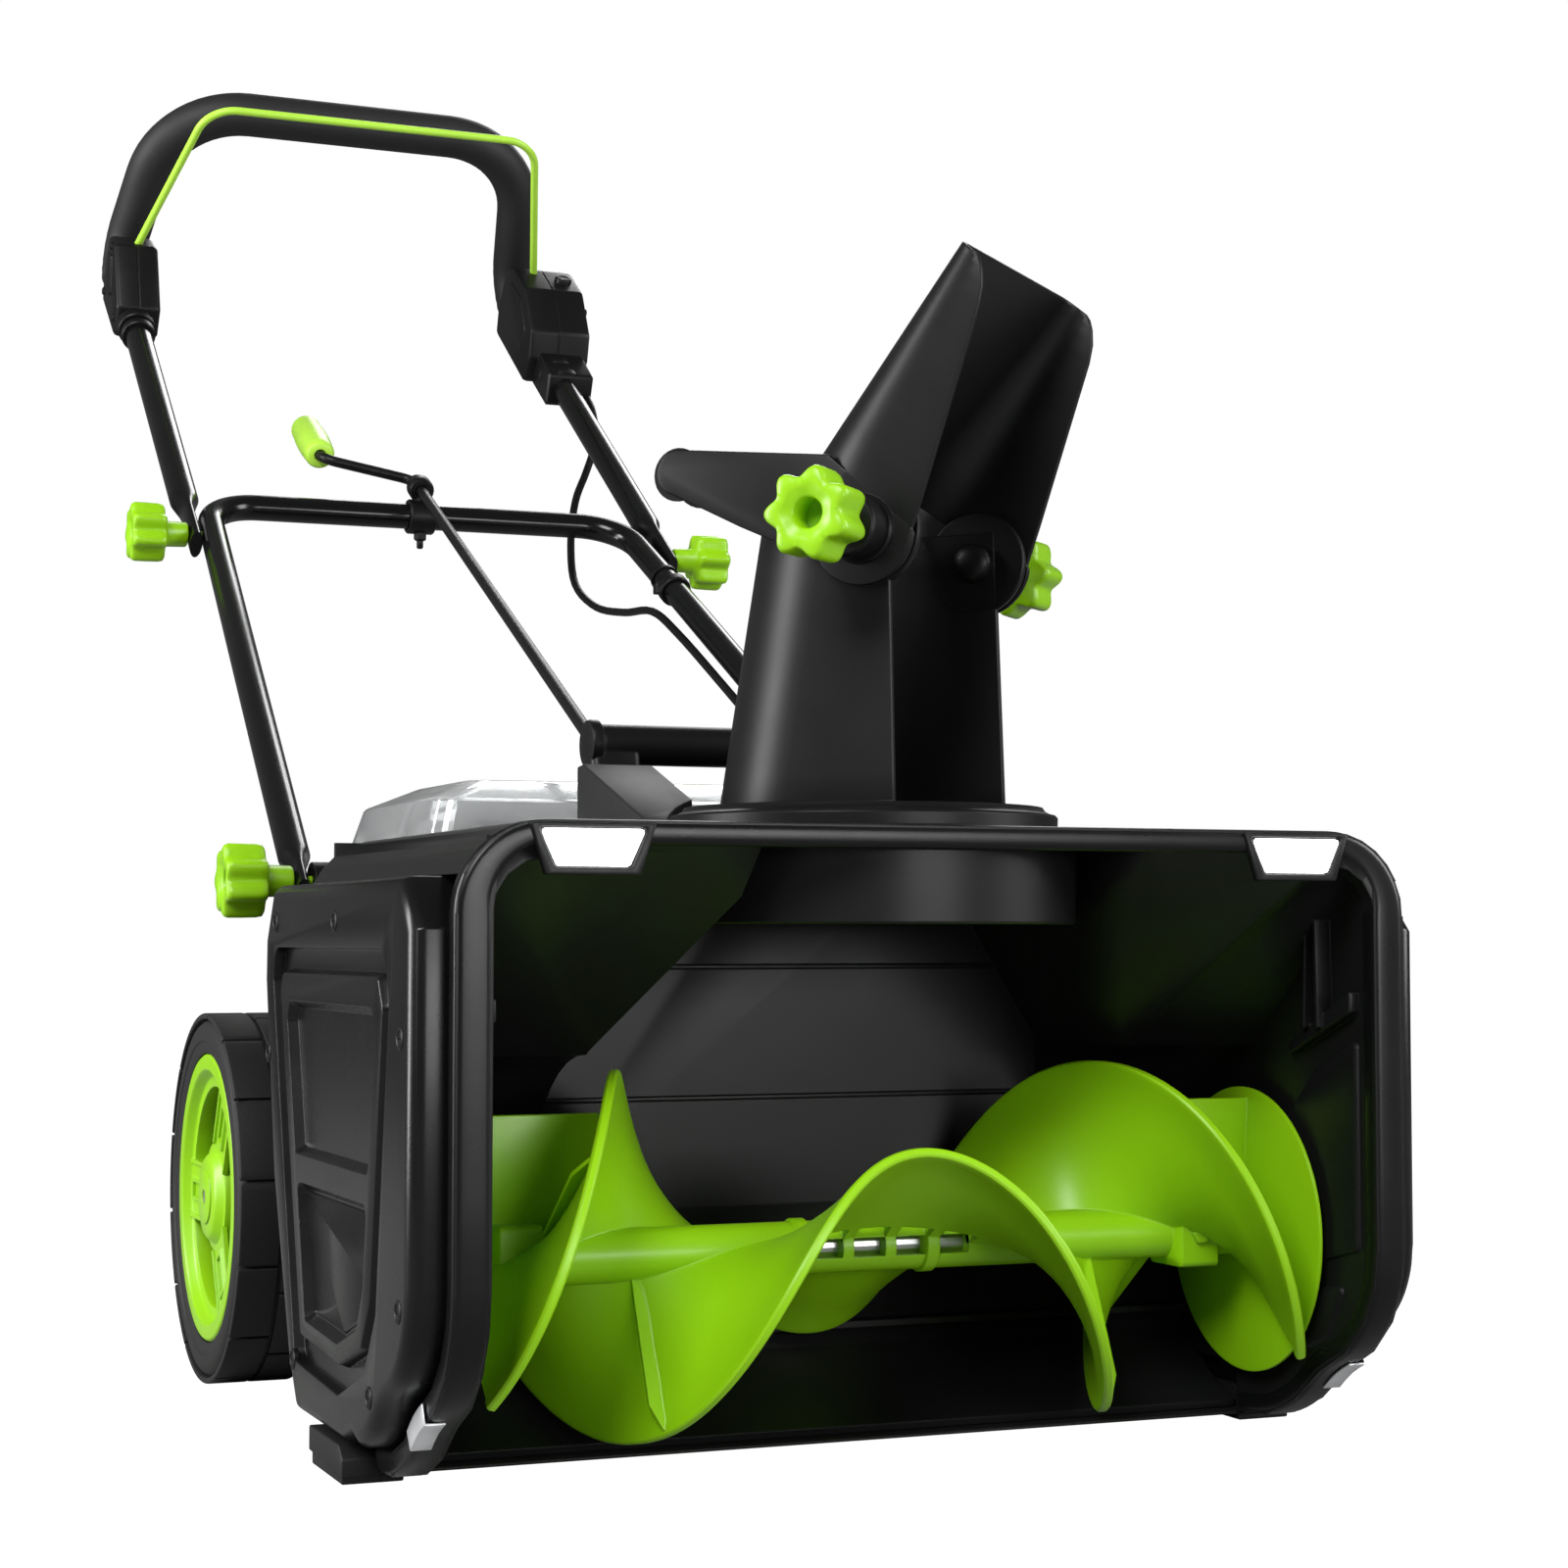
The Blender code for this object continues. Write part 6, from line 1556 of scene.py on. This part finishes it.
def screws():
    """Pan-head screws in the covers and mouldings."""
    r = sizes().screw_radius
    head = turned(
        "head", Z, (0, 0, 0), [(-0.001, r), (0.0004, r), (0.0012, r - 0.0008), (0.0014, r - 0.0026)], 20
    )
    slot_a = block("slot a", (-0.0022, -0.0004, 0.0006), (0.0022, 0.0004, 0.003))
    slot_b = block("slot b", (-0.0004, -0.0022, 0.0006), (0.0004, 0.0022, 0.003))
    cut(head, slot_a, slot_b)
    points, turns = [], []
    for side in (-1, 1):
        for y, z in SCREW_SPOTS:
            points.append(Vector((side * 0.2490, y, z)))
            turns.append((0, side * math.pi / 2, 0))
    for x in (-0.165, 0.165):
        for z in (0.090, 0.250):
            points.append(Vector((x, 0.4215, z)))
            turns.append((-math.pi / 2, 0, 0))
    black = finish("satin")
    placed(repeated("cover_screws", head, points, turns, black), "root", black)


def screw_wells():
    """The dark dished seats round the cover screws."""
    seats = []
    for side in (-1, 1):
        for y, z in SCREW_SPOTS:
            profile = [
                (0.2480, 0.0034), (0.2502, 0.0036), (0.2506, 0.0044), (0.2502, 0.0052), (0.2480, 0.0054)
            ]
            seats.append(turned("seat", X * side, Vector((0, y, z)), profile, 28, closed=True))
    placed(gathered("cover_screw_seats", *seats), "root", finish("satin"))


# ---------------------------------------------------------------- pieces kept from the frame


KEPT = {
    "battery_cradle": "satin", "control_board": "board", "lid_pin": "satin", "wheel_axle": "steel",
    "motor_can": "steel", "motor_rotor": "steel", "motor_pulley": "satin", "auger_pulley": "satin",
    "drive_belt": "belt", "auger_bearing_left": "steel", "auger_bearing_right": "steel",
    "auger_shaft": "steel", "worm": "steel",
}


def kept_finishes():
    for node, name in KEPT.items():
        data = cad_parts[node].data
        data.materials.clear()
        data.materials.append(finish(name))


# ---------------------------------------------------------------- stage


def stage():
    scene = bpy.context.scene
    settings = scene.blower_stage
    scene.view_settings.view_transform = "Standard"
    bpy.ops.mesh.primitive_plane_add(size=30, location=(0, 0, 0))
    floor = bpy.context.object
    floor.name = "studio_floor"
    paint = bpy.data.materials.new("Studio floor")
    paint.use_nodes = True
    tree = paint.node_tree
    tree.nodes.clear()
    rays = tree.nodes.new("ShaderNodeLightPath")
    matt = tree.nodes.new("ShaderNodeBsdfDiffuse")
    matt.inputs["Color"].default_value = (0.28, 0.28, 0.28, 1)
    glow = tree.nodes.new("ShaderNodeEmission")
    glow.inputs["Strength"].default_value = 1.64
    share = tree.nodes.new("ShaderNodeMath")
    share.operation = "MULTIPLY"
    share.inputs[1].default_value = settings.floor_white
    mix = tree.nodes.new("ShaderNodeMixShader")
    out = tree.nodes.new("ShaderNodeOutputMaterial")
    link(
        tree,
        ((rays, "Is Camera Ray"), (share, 0)),
        ((share, "Value"), (mix, 0)),
        ((mix, "Shader"), (out, "Surface")),
    )
    tree.links.new(matt.outputs[0], mix.inputs[1])
    tree.links.new(glow.outputs[0], mix.inputs[2])
    floor.data.materials.append(paint)

    world = bpy.data.worlds.new("Studio")
    scene.world = world
    world.use_nodes = True
    sky = world.node_tree
    back = sky.nodes["Background"]
    rays = sky.nodes.new("ShaderNodeLightPath")
    seen = sky.nodes.new("ShaderNodeMath")
    seen.operation = "MAXIMUM"
    level = sky.nodes.new("ShaderNodeMapRange")
    level.inputs["To Min"].default_value = settings.sky_level
    level.inputs["To Max"].default_value = 1.0
    link(
        sky,
        ((rays, "Is Camera Ray"), (seen, 0)),
        ((rays, "Is Transmission Ray"), (seen, 1)),
        ((seen, "Value"), (level, "Value")),
        ((level, "Result"), (back, "Strength")),
    )
    back.inputs["Color"].default_value = (1, 1, 1, 1)

    for name, spot, aim, size, power in (
        ("Soft key", (-2.2, -2.6, 2.6), (0, 0, 0.3), (1.6, 1.6), settings.key_power),
        ("Soft fill", (2.8, -1.8, 1.4), (0, 0, 0.3), (1.2, 1.8), settings.fill_power),
        ("Soft rim", (1.3, 2.4, 2.4), (0, 0, 0.4), (1.6, 1.0), settings.fill_power * 0.4),
        ("Side strip", (-2.5, 0.35, 1.0), (0, -0.4, 0.5), (0.7, 1.8), settings.fill_power),
        ("Low front", (0.5, -2.9, 0.5), (0, -0.5, 0.12), (1.2, 0.5), settings.fill_power * 0.3),
    ):
        light = bpy.data.lights.new(name, "AREA")
        light.shape = "RECTANGLE"
        light.size, light.size_y = size
        light.energy = power
        lamp = bpy.data.objects.new(name, light)
        lamp.location = spot
        lamp.rotation_euler = (Vector(aim) - Vector(spot)).to_track_quat("-Z", "Y").to_euler()
        scene.collection.objects.link(lamp)

    camera = bpy.data.cameras.new("Studio camera")
    camera.lens = 66.24
    camera.sensor_width = 36
    camera.clip_end = 60
    view = bpy.data.objects.new("Studio camera", camera)
    view.location = (-0.5627, -1.2981 + SCRAPER_EDGE, 0.2478)
    view.rotation_euler = (math.radians(93.05), 0, math.radians(-22.2))
    scene.collection.objects.link(view)
    scene.camera = view


def make_knobs():
    """Two knobs at the chute, two at the fold and two at the feet."""
    across_hinge = chute_at(HINGE_Q, 0, HINGE_Z)
    for side, word in ((-1, "left"), (1, "right")):
        star(
            "chute_knob_" + word, "chute_knob_" + word, across_hinge + ACROSS * side * 0.0938, ACROSS * side,
            0.028
        )
        fold = Vector((side * (UPPER_BOLT.x + 0.0051), BOLT.y, BOLT.z))
        star("fold_knob_" + word, "fold_knob_" + word, fold, X * side, 0.022)
        foot = Vector((side * (LEG_FOOT.x + 0.0050), LEG_FOOT.y, LEG_FOOT.z))
        star("foot_knob_" + word, "foot_knob_" + word, foot, X * side, 0.018)


# ---------------------------------------------------------------- the add-on


class BlowerSizes(bpy.types.PropertyGroup):
    """Sizes of the machine's repeated and gripped pieces."""

    foam_radius: bpy.props.FloatProperty(
        name="Foam radius", description="Radius of the grip's foam sleeve", default=0.0174, min=0.012, max=0.0175, unit="LENGTH"
    )
    bail_radius: bpy.props.FloatProperty(
        name="Bail radius", description="Radius of the bail's bar", default=0.0031, min=0.002, max=0.004, unit="LENGTH"
    )
    screw_radius: bpy.props.FloatProperty(
        name="Screw radius", description="Radius of the covers' screw heads", default=0.0036, min=0.003, max=0.005, unit="LENGTH"
    )
    knob_lobes: bpy.props.IntProperty(
        name="Knob lobes", description="Lobes of each star knob", default=7, min=4, max=12
    )
    tread_lugs: bpy.props.IntProperty(
        name="Tread lugs", description="Lugs in each row of a tyre's tread", default=14, min=8, max=24
    )


class BlowerFinish(bpy.types.PropertyGroup):
    """Colours of the machine's mouldings."""

    lime: bpy.props.FloatVectorProperty(
        name="Lime", description="Auger, hubs and knobs", subtype="COLOR", size=3, min=0, max=1, default=(0.225, 0.48, 0.004)
    )
    pale: bpy.props.FloatVectorProperty(
        name="Pale lime", description="Bail, crank grip and button", subtype="COLOR", size=3, min=0, max=1, default=(0.36, 0.64, 0.05)
    )
    gloss: bpy.props.FloatVectorProperty(
        name="Gloss black", description="Auger housing and tubes", subtype="COLOR", size=3, min=0, max=1, default=(
            0.0035, 0.0035, 0.0040
        )
    )
    satin: bpy.props.FloatVectorProperty(
        name="Satin black", description="Covers, chute and small mouldings", subtype="COLOR", size=3, min=0, max=1, default=(
            0.0035, 0.0035, 0.0038
        )
    )


class BlowerStage(bpy.types.PropertyGroup):
    """Light levels of the studio."""

    key_power: bpy.props.FloatProperty(
        name="Key light", description="Power of the main soft light", default=150, min=0, unit="POWER"
    )
    fill_power: bpy.props.FloatProperty(
        name="Fill light", description="Power of each side light", default=85, min=0, unit="POWER"
    )
    sky_level: bpy.props.FloatProperty(
        name="Sky level", description="Strength of the even light all round", default=0.14, min=0, max=2
    )
    floor_white: bpy.props.FloatProperty(
        name="Floor white", description="Share of plain white in the floor", default=0.62, min=0, max=1,
        subtype="FACTOR"
    )


class SNOWBLOWER_OT_stage(bpy.types.Operator):
    """Sets up the floor, the light and the camera"""

    bl_idname = "snowblower.stage"
    bl_label = "Stage"
    bl_options = {"REGISTER", "UNDO"}

    def execute(self, context):
        stage()
        return {"FINISHED"}


class SNOWBLOWER_OT_cable(bpy.types.Operator):
    """Makes the cable with its clip and gland"""

    bl_idname = "snowblower.cable"
    bl_label = "Cable"
    bl_options = {"REGISTER", "UNDO"}

    def execute(self, context):
        cable()
        return {"FINISHED"}


class SNOWBLOWER_OT_housing(bpy.types.Operator):
    """Makes the auger housing with its rim and ribs"""

    bl_idname = "snowblower.housing"
    bl_label = "Auger housing"
    bl_options = {"REGISTER", "UNDO"}

    def execute(self, context):
        housing()
        return {"FINISHED"}


class SNOWBLOWER_OT_covers(bpy.types.Operator):
    """Makes both side covers and their screws"""

    bl_idname = "snowblower.covers"
    bl_label = "Side covers"
    bl_options = {"REGISTER", "UNDO"}

    def execute(self, context):
        both(cover)
        screw_wells()
        screws()
        return {"FINISHED"}


class SNOWBLOWER_OT_scraper(bpy.types.Operator):
    """Makes the scraper with its wear pads"""

    bl_idname = "snowblower.scraper"
    bl_label = "Scraper"
    bl_options = {"REGISTER", "UNDO"}

    def execute(self, context):
        scraper()
        return {"FINISHED"}


class SNOWBLOWER_OT_clips(bpy.types.Operator):
    """Makes the bright clips on the rim's corners"""

    bl_idname = "snowblower.clips"
    bl_label = "Corner clips"
    bl_options = {"REGISTER", "UNDO"}

    def execute(self, context):
        corner_clips()
        return {"FINISHED"}


class SNOWBLOWER_OT_lamps(bpy.types.Operator):
    """Makes the two lamp lenses"""

    bl_idname = "snowblower.lamps"
    bl_label = "Lamps"
    bl_options = {"REGISTER", "UNDO"}

    def execute(self, context):
        lamps()
        return {"FINISHED"}


class SNOWBLOWER_OT_auger(bpy.types.Operator):
    """Makes the two-start auger"""

    bl_idname = "snowblower.auger"
    bl_label = "Auger"
    bl_options = {"REGISTER", "UNDO"}

    def execute(self, context):
        auger()
        return {"FINISHED"}


class SNOWBLOWER_OT_chute(bpy.types.Operator):
    """Makes the discharge chute and its ring gear"""

    bl_idname = "snowblower.chute"
    bl_label = "Chute"
    bl_options = {"REGISTER", "UNDO"}

    def execute(self, context):
        discharge_chute()
        return {"FINISHED"}


class SNOWBLOWER_OT_deflector(bpy.types.Operator):
    """Makes the tilting deflector"""

    bl_idname = "snowblower.deflector"
    bl_label = "Deflector"
    bl_options = {"REGISTER", "UNDO"}

    def execute(self, context):
        deflector()
        return {"FINISHED"}


class SNOWBLOWER_OT_knobs(bpy.types.Operator):
    """Makes the six star knobs"""

    bl_idname = "snowblower.knobs"
    bl_label = "Knobs"
    bl_options = {"REGISTER", "UNDO"}

    def execute(self, context):
        make_knobs()
        return {"FINISHED"}


class SNOWBLOWER_OT_tail(bpy.types.Operator):
    """Makes the rear housing"""

    bl_idname = "snowblower.tail"
    bl_label = "Rear housing"
    bl_options = {"REGISTER", "UNDO"}

    def execute(self, context):
        tail()
        return {"FINISHED"}


class SNOWBLOWER_OT_packs(bpy.types.Operator):
    """Makes the two battery packs"""

    bl_idname = "snowblower.packs"
    bl_label = "Battery packs"
    bl_options = {"REGISTER", "UNDO"}

    def execute(self, context):
        battery_packs()
        return {"FINISHED"}


class SNOWBLOWER_OT_lid(bpy.types.Operator):
    """Makes the clear lid"""

    bl_idname = "snowblower.lid"
    bl_label = "Battery lid"
    bl_options = {"REGISTER", "UNDO"}

    def execute(self, context):
        clear_lid()
        return {"FINISHED"}


class SNOWBLOWER_OT_carry(bpy.types.Operator):
    """Makes the carry handle and the worm's fairing"""

    bl_idname = "snowblower.carry"
    bl_label = "Carry handle"
    bl_options = {"REGISTER", "UNDO"}

    def execute(self, context):
        carry_handle()
        return {"FINISHED"}


class SNOWBLOWER_OT_lower_frame(bpy.types.Operator):
    """Makes the lower handle"""

    bl_idname = "snowblower.lower_frame"
    bl_label = "Lower handle"
    bl_options = {"REGISTER", "UNDO"}

    def execute(self, context):
        lower_tube()
        return {"FINISHED"}


class SNOWBLOWER_OT_upper_handle(bpy.types.Operator):
    """Makes the upper handle with its foam and boxes"""

    bl_idname = "snowblower.upper_handle"
    bl_label = "Upper handle"
    bl_options = {"REGISTER", "UNDO"}

    def execute(self, context):
        upper_tube()
        foam()
        switch_box()
        pivot_box()
        return {"FINISHED"}


class SNOWBLOWER_OT_bail(bpy.types.Operator):
    """Makes the bail"""

    bl_idname = "snowblower.bail"
    bl_label = "Bail"
    bl_options = {"REGISTER", "UNDO"}

    def execute(self, context):
        bail()
        return {"FINISHED"}


class SNOWBLOWER_OT_crank(bpy.types.Operator):
    """Makes the chute's crank, its grip and its eyelet"""

    bl_idname = "snowblower.crank"
    bl_label = "Crank"
    bl_options = {"REGISTER", "UNDO"}

    def execute(self, context):
        crank()
        return {"FINISHED"}


class SNOWBLOWER_OT_wheels(bpy.types.Operator):
    """Makes both wheels"""

    bl_idname = "snowblower.wheels"
    bl_label = "Wheels"
    bl_options = {"REGISTER", "UNDO"}

    def execute(self, context):
        both(wheel)
        treads()
        return {"FINISHED"}


class SNOWBLOWER_OT_kept(bpy.types.Operator):
    """Gives the frame's own parts their finishes"""

    bl_idname = "snowblower.kept"
    bl_label = "Inner parts"
    bl_options = {"REGISTER", "UNDO"}

    def execute(self, context):
        kept_finishes()
        return {"FINISHED"}


OPERATORS = (
    SNOWBLOWER_OT_stage,
    SNOWBLOWER_OT_cable,
    SNOWBLOWER_OT_housing,
    SNOWBLOWER_OT_covers,
    SNOWBLOWER_OT_scraper,
    SNOWBLOWER_OT_clips,
    SNOWBLOWER_OT_lamps,
    SNOWBLOWER_OT_auger,
    SNOWBLOWER_OT_chute,
    SNOWBLOWER_OT_deflector,
    SNOWBLOWER_OT_knobs,
    SNOWBLOWER_OT_tail,
    SNOWBLOWER_OT_packs,
    SNOWBLOWER_OT_lid,
    SNOWBLOWER_OT_carry,
    SNOWBLOWER_OT_lower_frame,
    SNOWBLOWER_OT_upper_handle,
    SNOWBLOWER_OT_bail,
    SNOWBLOWER_OT_crank,
    SNOWBLOWER_OT_wheels,
    SNOWBLOWER_OT_kept,
)


class SNOWBLOWER_PT_panel(bpy.types.Panel):
    """The snow blower's settings and pieces."""

    bl_idname = "SNOWBLOWER_PT_panel"
    bl_label = "Snow blower"
    bl_space_type = "VIEW_3D"
    bl_region_type = "UI"
    bl_category = "Snow blower"

    def draw(self, context):
        for group in (context.scene.blower_sizes, context.scene.blower_finish, context.scene.blower_stage):
            for name in group.__annotations__:
                self.layout.prop(group, name)
        for piece in OPERATORS:
            self.layout.operator(piece.bl_idname)


CLASSES = [BlowerSizes, BlowerFinish, BlowerStage, *OPERATORS, SNOWBLOWER_PT_panel]


def register():
    for piece in CLASSES:
        bpy.utils.register_class(piece)
    bpy.types.Scene.blower_sizes = bpy.props.PointerProperty(type=BlowerSizes)
    bpy.types.Scene.blower_finish = bpy.props.PointerProperty(type=BlowerFinish)
    bpy.types.Scene.blower_stage = bpy.props.PointerProperty(type=BlowerStage)


def unregister():
    del bpy.types.Scene.blower_stage
    del bpy.types.Scene.blower_finish
    del bpy.types.Scene.blower_sizes
    for piece in reversed(CLASSES):
        bpy.utils.unregister_class(piece)


def main():
    register()
    for piece in OPERATORS:
        getattr(bpy.ops.snowblower, piece.bl_idname.split(".")[1])()


if __name__ == "__main__":
    main()
